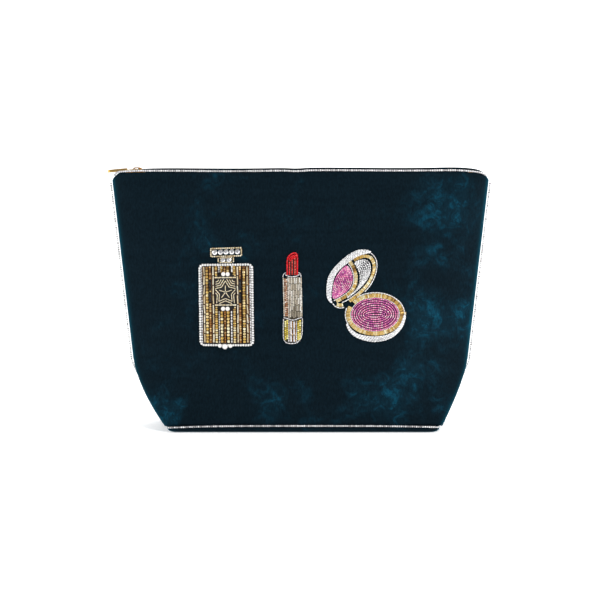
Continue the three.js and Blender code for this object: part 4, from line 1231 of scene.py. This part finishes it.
# --- Open compact motif -----------------------------------------------------
# A lid seen from the side, lying back over a round pan: white bugle rims, bands of gold
# bugles set crosswise, a silver mirror, and blush and powder in rows of pink beads.
pink_bead = bead_stuff("pink_lined_bead", (0.5, 0.05, 0.36), (1.0, 0.25, 0.52), (1.0, 0.62, 0.76), 0.05)
snow_bugle = bead_stuff("clear_bugle", (0.4, 0.4, 0.4), (0.98, 0.97, 0.98), (1, 1, 1), 0.05, 1.0)
plum_felt = woven_stuff("plum_ground", 0.4 * MM, (0.012, 0.003, 0.016), (0.06, 0.012, 0.07), 0.8, 0.1,
                        0.0001)


def even_line(line, count):
    """A line again, with count points evenly along it."""
    gone = lengths_along(line)
    return at_lengths(line, gone, np.linspace(0, gone[-1], count))


def crosswise(centre_line, half_width_mm, pitch, radius, tones):
    """Bugles set side by side across a band, square to its centre line; tones gives the tone by share
    run."""
    line = even_line(centre_line, 400)
    gone = lengths_along(line)
    at = (np.arange(int(gone[-1] / pitch)) + 0.5) * pitch
    flat = at_lengths(line, gone, at)
    ahead = unit(at_lengths(line, gone, np.minimum(at + 0.4, gone[-1]))
                 - at_lengths(line, gone, np.maximum(at - 0.4, 0)))
    across = np.stack([-ahead[:, 1], ahead[:, 0]], -1) * half_width_mm
    a, b = (on_front(*((flat + sign * across).T * MM), (0.3 + radius) * MM) for sign in (-1, 1))
    count = len(at)
    grow = radius * MM * (1 + 0.05 * drawing.normal(size=count))
    size = np.stack([np.linalg.norm(b - a, axis=1) * (1 + 0.05 * drawing.normal(size=count)), grow, grow],
                    -1)
    lean = unit(unit(b - a) + 0.06 * drawing.normal(size=(count, 3)))
    shade = np.clip(tones(at / gone[-1]) + 0.16 * drawing.normal(size=count), 0, 1)
    return (a + b) / 2, lean, front_normal((a + b) / 2), size, shade


def laid_rows(outer, inner, rows, pitch, radius, tone=(0.3, 1), wobble=0.12):
    """Rows of short bugles that follow a crescent from its outer edge to its inner one, alternate rows a
    little higher."""
    outer, inner = even_line(outer, 120), even_line(inner, 120)
    shares = (np.arange(rows) + 0.5) / rows
    return [sewn(outer * (1 - s) + inner * s, pitch, radius, tone=tone, wobble=wobble,
                 lift=0.3 + 0.12 * (k % 2))
            for k, s in enumerate(shares)]


lid_out = softened([(48.8, 122.3), (46.6, 123.7), (42.3, 124.2), (38.3, 123.4), (34.5, 121.5),
                    (30.6, 118.8), (26.6, 115.2), (22.8, 111.2), (19.9, 107.2), (18.4, 103.0), (17.9, 97.9),
                    (17.9, 92.7), (19.1, 89.3), (21.4, 87.5)])
lid_in = softened([(48.3, 121.9), (44.1, 121.0), (40.3, 119.7), (36.9, 117.7), (34.0, 115.8), (30.2, 112.9),
                   (27.0, 110.4), (24.4, 107.0), (22.8, 103.2), (21.7, 97.9), (21.2, 93.1), (21.2, 89.5),
                   (21.8, 87.5)])
lid_rows = laid_rows(lid_out, lid_in, 5, 1.9, 0.48)
lid_edges = ([(48.7, 121.6), (50.7, 119.9), (52.3, 117.3), (53.0, 113.7), (52.5, 108.9), (51.1, 104.6),
              (49.1, 100.8), (46.7, 97.4), (44.3, 95.0)],
             [(22.2, 87.1), (23.7, 85.2), (25.8, 84.2), (28.2, 83.9), (30.2, 84.5)],
             [(33.0, 114.4), (35.2, 111.5), (36.5, 107.5), (36.9, 103.2), (36.1, 99.1), (33.9, 95.7),
              (30.6, 93.1), (26.8, 91.0), (22.9, 89.0)],
             [(48.9, 104.5), (46.1, 100.7), (42.9, 97.3), (39.6, 94.4), (36.1, 91.9), (33.1, 89.7),
              (28.6, 87.7)])
lid_rows += [sewn(softened(line), 1.9, 0.34, tone=(0.5, 1)) for line in lid_edges]
sew_on(beadwork("compact_lid_rows", lid_rows, LONG_BEAD), snow_bugle, "seed_bead_silver", "compact_lid_rim")

band_line = softened([(36.9, 116.7), (39.8, 118.3), (43.2, 119.5), (46.3, 119.5), (48.7, 118.4),
                      (50.3, 115.9), (51.1, 112.3), (50.6, 108.7), (49.2, 105.1), (47.4, 101.5),
                      (44.8, 98.2), (42.1, 95.4), (39.4, 92.9), (36.3, 90.5), (33.6, 88.4)])
arc_line = softened([(33.8, 116.1), (36.0, 113.2), (37.6, 109.4), (38.6, 104.6), (37.8, 99.8), (35.5, 95.7),
                     (32.1, 92.7), (28.7, 90.5), (24.5, 88.4)])


def band_tone(s):
    """Tone along the outer band: it rises over the first quarter, then one dark place near the hinge."""
    return 0.2 + 0.5 * np.clip(s * 4, 0, 1) - 0.3 * (np.abs(s - 0.9) < 0.07)


def arc_tone(s):
    """Tone along the inner arc: even, but for a dark place towards each end."""
    return 0.68 - 0.4 * (np.abs(s - 0.17) < 0.06) - 0.45 * (np.abs(s - 0.83) < 0.07)


gold_bands = [
    crosswise(band_line, 1.08, 0.9, 0.47, band_tone),
    crosswise(softened([(24.9, 86.3), (27.7, 85.8), (30.2, 86.5)]), 1.15, 0.9, 0.47, lambda s: 0.75 + 0 * s),
    crosswise(arc_line, 1.12, 0.9, 0.47, arc_tone),
]
sew_on(beadwork("compact_lid_gold", gold_bands, LONG_BEAD), gold_bead, "bead_gold", "compact_lid_band",
       "compact_inner_arc")

mirror_out = softened([(37.8, 115.5), (40.3, 116.5), (44.1, 117.5), (46.7, 116.9), (48.4, 114.8),
                       (48.8, 111.8), (48.5, 108.9), (46.9, 105.0), (44.2, 101.2), (41.4, 98.3),
                       (38.0, 95.4), (34.9, 93.0), (32.3, 91.0)])
mirror_in = softened([(37.4, 114.7), (39.2, 111.3), (40.4, 108.0), (41.0, 103.6), (40.4, 100.0),
                      (38.6, 96.5), (36.1, 94.0), (33.7, 92.1), (32.1, 91.1)])
mirror_rows = laid_rows(mirror_out, mirror_in, 7, 1.5, 0.5, (0.1, 1), 0.45)
sew_on(beadwork("compact_mirror_rows", mirror_rows, LONG_BEAD), snow_bugle, "seed_bead_silver",
       "compact_mirror")

blush_edge = even_line(softened([(31.9, 113.5), (29.2, 111.1), (26.4, 108.2), (24.4, 105.0), (23.1, 101.6),
                                 (22.3, 97.4), (22.0, 93.1), (22.1, 90.0), (26.3, 91.7), (30.0, 94.0),
                                 (33.2, 96.5), (35.2, 99.5), (36.0, 103.2), (35.7, 106.9), (34.4, 110.5)],
                                closed=True), 160)
blush_heart = at_lengths(np.array([(25.4, 92.8), (29.3, 101.0), (31.9, 109.2)]), np.array([0, 9.1, 17.7]),
                         np.linspace(0, 17.7, 40))
nearest = blush_heart[np.linalg.norm(blush_edge[:, None] - blush_heart[None], axis=2).argmin(1)]
blush_rows = []
for keep in (0.93, 0.72, 0.51, 0.3, 0.1):
    ring = even_line(nearest + (blush_edge - nearest) * keep, 160)[:-1]
    blush_rows.append(sewn(ring, 1.25, 0.52, True, (0.0, 1), wobble=0.08))
sew_on(beadwork("compact_blush_beads", blush_rows), pink_bead, "bead_pink", "compact_blush")


PAN_X, PAN_Z = 51.5, 79.4


def oval(a, b, start=0, stop=360, count=90):
    """Part of an ellipse about the pan's middle, between two angles in degrees."""
    angle = np.radians(np.linspace(start, stop, count))
    return np.stack([PAN_X + a * np.cos(angle), PAN_Z + b * np.sin(angle)], -1)


powder_rows = [sewn(oval(16.0 - 1.56 * k, 10.9 - 1.52 * k)[:-1], 1.25, 0.54, True, (0.0, 1), wobble=0.08)
               for k in range(7)]
powder_rows.append(sewn([(PAN_X - 5.3, PAN_Z), (PAN_X + 5.3, PAN_Z)], 1.25, 0.54, tone=(0.15, 1)))
sew_on(beadwork("compact_powder_beads", powder_rows), pink_bead, "bead_pink", "compact_powder")


def plum_ground(name, outline):
    """A thin felt patch under the pink rows: rings from an outline to its middle, on both sides, sewn at
    the edge."""
    around = 60
    outline = even_line(np.concatenate([outline, outline[:1]]), around + 1)[:-1]
    heart = outline.mean(0)
    keep = np.array([0.12, 0.4, 0.7, 0.97, 1.0, 0.97, 0.7, 0.4, 0.12])
    lift = np.array([0.22, 0.22, 0.22, 0.22, 0.13, 0.05, 0.05, 0.05, 0.05])
    rings = [on_front(*((heart + (outline - heart) * k).T * MM), h * MM) for k, h in zip(keep, lift)]
    quads = grid_quads(len(keep), around, close_cols=True)
    lids = np.array([np.arange(around), (len(keep) - 1) * around + np.arange(around)[::-1]])
    return piece_from(name, np.concatenate(rings), quads[:, ::-1], lids, stand=BODY_LIFT)


sew_on(plum_ground("compact_blush_ground", blush_edge), plum_felt, "bead_pink")
sew_on(plum_ground("compact_powder_ground", oval(16.6, 11.5)[:-1]), plum_felt, "bead_pink")


def pan_tone(s):
    """Tone round the pan's gold ring: one long dusk in front, and two short dark places."""
    back = 1 - s
    dusk = 0.45 * np.exp(-(((back - 0.62) / 0.2) ** 2))
    return 0.72 - dusk - 0.3 * (np.abs(back - 0.28) < 0.03) - 0.25 * (np.abs(back - 0.05) < 0.03)


pan_gold = [crosswise(oval(18.7, 13.1, 142, -206, 300), 1.42, 0.9, 0.47, pan_tone)]
sew_on(beadwork("compact_pan_gold", pan_gold, LONG_BEAD), gold_bead, "bead_gold", "compact_ring")
cup_out = softened([(31.7, 73.1), (32.8, 69.5), (35.0, 66.3), (38.4, 63.8), (43.1, 61.9), (47.9, 60.8),
                    (52.3, 60.4), (57.7, 61.2), (62.0, 62.6), (66.2, 65.3), (69.6, 69.1), (71.8, 73.0),
                    (72.8, 77.2), (72.3, 78.8)])
cup_in = softened([(32.1, 73.6), (33.4, 71.2), (35.7, 68.6), (39.0, 66.4), (43.5, 65.2), (47.9, 64.6),
                   (51.8, 64.4), (56.2, 64.8), (60.2, 65.4), (64.6, 67.6), (68.0, 70.7), (70.2, 74.3),
                   (71.3, 77.6), (71.7, 78.6)])
pan_rows = laid_rows(cup_out, cup_in, 4, 1.9, 0.5)
pan_rows += [sewn(oval(20.6, 15.0, -8, 128), 1.9, 0.36, tone=(0.5, 1)),
             sewn(oval(20.6, 15.0, 162, 206), 1.9, 0.36, tone=(0.5, 1)),
             sewn(oval(16.95, 11.75)[:-1], 1.9, 0.3, True, (0.3, 0.9))]
sew_on(beadwork("compact_pan_rows", pan_rows, LONG_BEAD), snow_bugle, "seed_bead_silver", "compact_base_rim")
clasp_rows = [sewn([(72.0, z), (73.2, z)], 1.2, 0.5, tone=(0.3, 1)) for z in (79.4, 80.4)]
sew_on(beadwork("compact_clasp_beads", clasp_rows), champagne, "bead_gold", "compact_clasp")


# --- Zip --------------------------------------------------------------------
# A nylon coil zip: two woven tapes, each with a coil of monofilament along its inner edge,
# whose turns lock in turn. At both ends the tapes and coils are sewn over and stay shut.
TAPE_Z, TAPE_THICK, LEG_Z = 174.4 * MM, 0.5 * MM, 166 * MM
tape_low, tape_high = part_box("tape_front")
CHAIN_X0, CHAIN_X1 = tape_low.x, tape_high.x
COIL_Z0, COIL_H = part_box("coil_front")[0].z - BODY_LIFT, 1.6 * MM
COIL_PITCH = 1.3 * MM
tape_stuff = woven_stuff("zip_tape_weave", 0.32 * MM, (0.008, 0.006, 0.016), (0.03, 0.022, 0.055), 0.8, 0.2,
                         0.00012)


def tape_strip(name, side, count=90):
    """The tape's section, a leg down inside the rim and a flat to the coil, carried along the bag."""
    x = np.linspace(CHAIN_X0, CHAIN_X1, count)
    reach = lambda z: half_depth(x / half_width(np.full(count, z)), z, side) - 1.6 * MM
    leg, shelf = reach(LEG_Z), reach(TAPE_Z)
    inner = 0.6 * MM
    t = np.linspace(0, 1, 12)
    profile_y, profile_z = [], []
    for k in t:
        profile_y.append(leg * (1 - k) + shelf * k)
        profile_z.append(np.full(count, LEG_Z + (TAPE_Z + TAPE_THICK - 0.3 * MM - LEG_Z) * k))
    for k in np.linspace(0.08, 1, 12):
        profile_y.append(shelf * (1 - k) + inner * k)
        profile_z.append(np.full(count, TAPE_Z + TAPE_THICK))
    for k in np.linspace(0, 0.92, 12):
        profile_y.append(inner * (1 - k) + (shelf - TAPE_THICK) * k)
        profile_z.append(np.full(count, TAPE_Z))
    for k in t:
        profile_y.append(shelf * (1 - k) + leg * k - TAPE_THICK)
        profile_z.append(np.full(count, TAPE_Z - 0.3 * MM + (LEG_Z - TAPE_Z + 0.3 * MM) * k))
    ring = np.stack([np.repeat(x[None], len(profile_y), 0), side * np.array(profile_y), np.array(profile_z)],
                    -1)
    ring = np.swapaxes(ring, 0, 1)
    around = ring.shape[1]
    quads = grid_quads(count, around, close_cols=True)
    half = around // 2
    a, b = np.arange(half), np.arange(around - 1, half - 1, -1)
    end = np.stack([a[:-1], a[1:], b[1:], b[:-1]], -1)
    far = end[:, ::-1] + (count - 1) * around
    if side > 0:
        quads, end, far = quads[:, ::-1], end[:, ::-1], far[:, ::-1]
    return piece_from(name, ring.reshape(-1, 3), quads[:, ::-1], end, far, stand=BODY_LIFT)


def coil_line(x0, x1, side, steps=14):
    """A monofilament's path: it turns once each pitch, round an oval section, its inner bend reaching past
    the middle."""
    turns = (x1 - x0) / COIL_PITCH
    a = np.linspace(0, turns * 2 * math.pi, int(turns * steps))
    x = x0 + a / (2 * math.pi) * COIL_PITCH + side * 0.25 * COIL_PITCH * 0.9
    y = side * (1.0 * MM + 1.1 * MM * np.cos(a))
    z = COIL_Z0 + COIL_H / 2 + (COIL_H / 2 - 0.24 * MM) * np.sin(a)
    return np.stack([np.clip(x, x0 + 0.3 * MM, x1 - 0.3 * MM), y, z], -1)


def thread_tube(name, line, radius, sides=6):
    """A round thread along a line: a ring of points about each of its points, square to it, closed at both
    ends."""
    along = unit(np.gradient(line, axis=0))
    side = unit(np.cross(along, np.array([1.0, 0.02, 0.03])))
    up = np.cross(side, along)
    angle = np.linspace(0, 2 * math.pi, sides, endpoint=False)
    ring = line[:, None] + radius * (np.cos(angle)[None, :, None] * side[:, None]
                                     + np.sin(angle)[None, :, None] * up[:, None])
    quads = grid_quads(len(line), sides, close_cols=True)
    lids = np.array([np.arange(sides)[::-1], (len(line) - 1) * sides + np.arange(sides)])
    return piece_from(name, ring.reshape(-1, 3), quads, lids, stand=BODY_LIFT)


def nylon_stuff():
    """Dyed nylon monofilament: smooth, a little cloudy."""
    stuff, tree, shader, add_node = material_nodes("coil_nylon")
    cloud = add_node("ShaderNodeTexNoise", {"Scale": 300.0, "Detail": 3.0})
    mix = add_node("ShaderNodeMix", {"Factor": cloud.outputs["Fac"]}, data_type="RGBA")
    mix.inputs[6].default_value = (0.01, 0.008, 0.022, 1)
    mix.inputs[7].default_value = (0.028, 0.022, 0.05, 1)
    tree.links.new(mix.outputs[2], shader.inputs["Base Color"])
    shader.inputs["Roughness"].default_value = 0.3
    return stuff


nylon = nylon_stuff()
FILAMENT_R = 0.24 * MM
for panel_name, side in (("front", -1), ("back", 1)):
    strip = tape_strip(f"zip_tape_{panel_name}", side)
    strip.data.materials.append(tape_stuff)
    open_with(strip)
    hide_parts(f"tape_{panel_name}")
    coil = thread_tube(f"zip_coil_{panel_name}", coil_line(CHAIN_X0, CHAIN_X1, side), FILAMENT_R)
    coil.data.materials.append(nylon)
    open_with(coil)
    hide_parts(f"coil_{panel_name}")

for end_name in ("left", "right"):
    low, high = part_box(f"tape_end_{end_name}")
    x = np.linspace(low.x, high.x, 24)
    reach = half_depth(x / half_width(np.full(24, TAPE_Z)), TAPE_Z) - 1.8 * MM
    v = np.linspace(-1, 1, 15)
    rings = []
    for z, pull in ((low.z, 0.2 * MM), (low.z + 0.12 * MM, 0), (high.z - 0.12 * MM, 0), (high.z, 0.2 * MM)):
        front_edge = np.stack([x, -(reach - pull)], -1)
        back_edge = np.stack([x[::-1], (reach - pull)[::-1]], -1)
        loop = np.concatenate([front_edge, back_edge])
        loop[:, 0] = np.clip(loop[:, 0], low.x + pull, high.x - pull)
        rings.append(np.concatenate([loop, np.full((len(loop), 1), z)], 1))
    tab = ringed_body(f"zip_tape_end_{end_name}", rings)
    tab.data.materials.append(tape_stuff)
    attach(tab, "base")
    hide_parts(f"tape_end_{end_name}")
    low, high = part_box(f"coil_end_{end_name}")
    both = [thread_tube(f"zip_coil_end_{end_name}_{'front' if side < 0 else 'back'}",
                        coil_line(low.x, high.x, side), FILAMENT_R)
            for side in (-1, 1)]
    for coil in both:
        coil.data.materials.append(nylon)
        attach(coil, "base")
    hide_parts(f"coil_end_{end_name}")


# --- Slider and pull --------------------------------------------------------
# Zinc castings plated pale gold: two plates on a dividing post, an arched crown on the upper
# plate, and a long flat pull whose eye hangs on the crown. Small brass staples stop the run.
def plated_stuff(name, deep, bright, roughness):
    """Gold plate: fine brushing along the length, a slow change of tone, and dulled spots."""
    stuff, tree, shader, add_node = material_nodes(name)
    place = add_node("ShaderNodeTexCoord")
    squeeze = add_node("ShaderNodeVectorMath", {0: place.outputs["Object"], 1: (0.08, 1, 1)},
                       operation="MULTIPLY")
    brush = add_node("ShaderNodeTexNoise", {"Vector": squeeze.outputs[0], "Scale": 4000.0, "Detail": 3.0})
    slow = add_node("ShaderNodeTexNoise", {"Vector": place.outputs["Object"], "Scale": 320.0, "Detail": 4.0})
    mix = add_node("ShaderNodeMix", {"Factor": slow.outputs["Fac"]}, data_type="RGBA")
    mix.inputs[6].default_value = (*deep, 1)
    mix.inputs[7].default_value = (*bright, 1)
    rough = add_node("ShaderNodeMapRange", {"Value": brush.outputs["Fac"], "To Min": roughness - 0.1,
                                            "To Max": roughness + 0.15})
    bump = add_node("ShaderNodeBump", {"Height": brush.outputs["Fac"], "Strength": 0.12, "Distance": 0.0001})
    tree.links.new(mix.outputs[2], shader.inputs["Base Color"])
    tree.links.new(rough.outputs["Result"], shader.inputs["Roughness"])
    tree.links.new(bump.outputs["Normal"], shader.inputs["Normal"])
    shader.inputs["Metallic"].default_value = 1.0
    return stuff


gold_plate = plated_stuff("pale_gold_plate", (0.42, 0.25, 0.07), (0.66, 0.43, 0.15), 0.34)
# A darker gold: brass on the stop staples, and on the slider painted shade over the same pale gold plate as
# the pull.
brass_and_shaded_gold = plated_stuff("brass_and_shaded_gold_plate", (0.3, 0.12, 0.02), (0.58, 0.3, 0.06), 0.3)


def rounded_edges(piece, width, segments=3):
    """Rounds every sharp edge of a flat-cut piece with a bevel modifier."""
    bevel = piece.modifiers.new("soft_edges", "BEVEL")
    bevel.width = width
    bevel.segments = segments
    bevel.limit_method = "ANGLE"
    bevel.angle_limit = math.radians(25)
    bevel.harden_normals = False
    return piece


def applied(piece):
    """The piece with its modifiers made part of its mesh."""
    held = bpy.context.evaluated_depsgraph_get()
    made = bpy.data.meshes.new_from_object(piece.evaluated_get(held), depsgraph=held)
    piece.modifiers.clear()
    piece.data = made
    return piece


def copy_of_node(name, node, width):
    """A casting with its CAD solid's own form: a merged copy with its flat faces joined and every edge
    rounded."""
    solid = bmesh.new()
    solid.from_mesh(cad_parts[node].data)
    bmesh.ops.remove_doubles(solid, verts=solid.verts, dist=1e-6)
    bmesh.ops.dissolve_limit(solid, angle_limit=math.radians(1), verts=solid.verts, edges=solid.edges)
    mesh = bpy.data.meshes.new(name)
    solid.to_mesh(mesh)
    solid.free()
    piece = bpy.data.objects.new(name, mesh)
    bpy.context.scene.collection.objects.link(piece)
    rounded_edges(piece, width)
    applied(piece)
    piece.data.materials.clear()
    piece.data.polygons.foreach_set("use_smooth", np.ones(len(piece.data.polygons), bool))
    piece.data.set_sharp_from_angle(angle=math.radians(40))
    return piece


for name, node, body, width, stuff in (
    ("zip_slider_casting", "slider_body", "slider", 0.25 * MM, brass_and_shaded_gold),
    ("zip_slider_arch", "slider_crown", "slider", 0.25 * MM, brass_and_shaded_gold),
    ("zip_pull_bar", "pull_tab", "pull", 0.3 * MM, gold_plate),
    ("zip_top_staple", "top_stop", "base", 0.2 * MM, brass_and_shaded_gold),
    ("zip_bottom_staple", "bottom_stop", "base", 0.2 * MM, brass_and_shaded_gold),
):
    casting = copy_of_node(name, node, width)
    casting.data.materials.append(stuff)
    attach(casting, body)
    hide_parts(node)
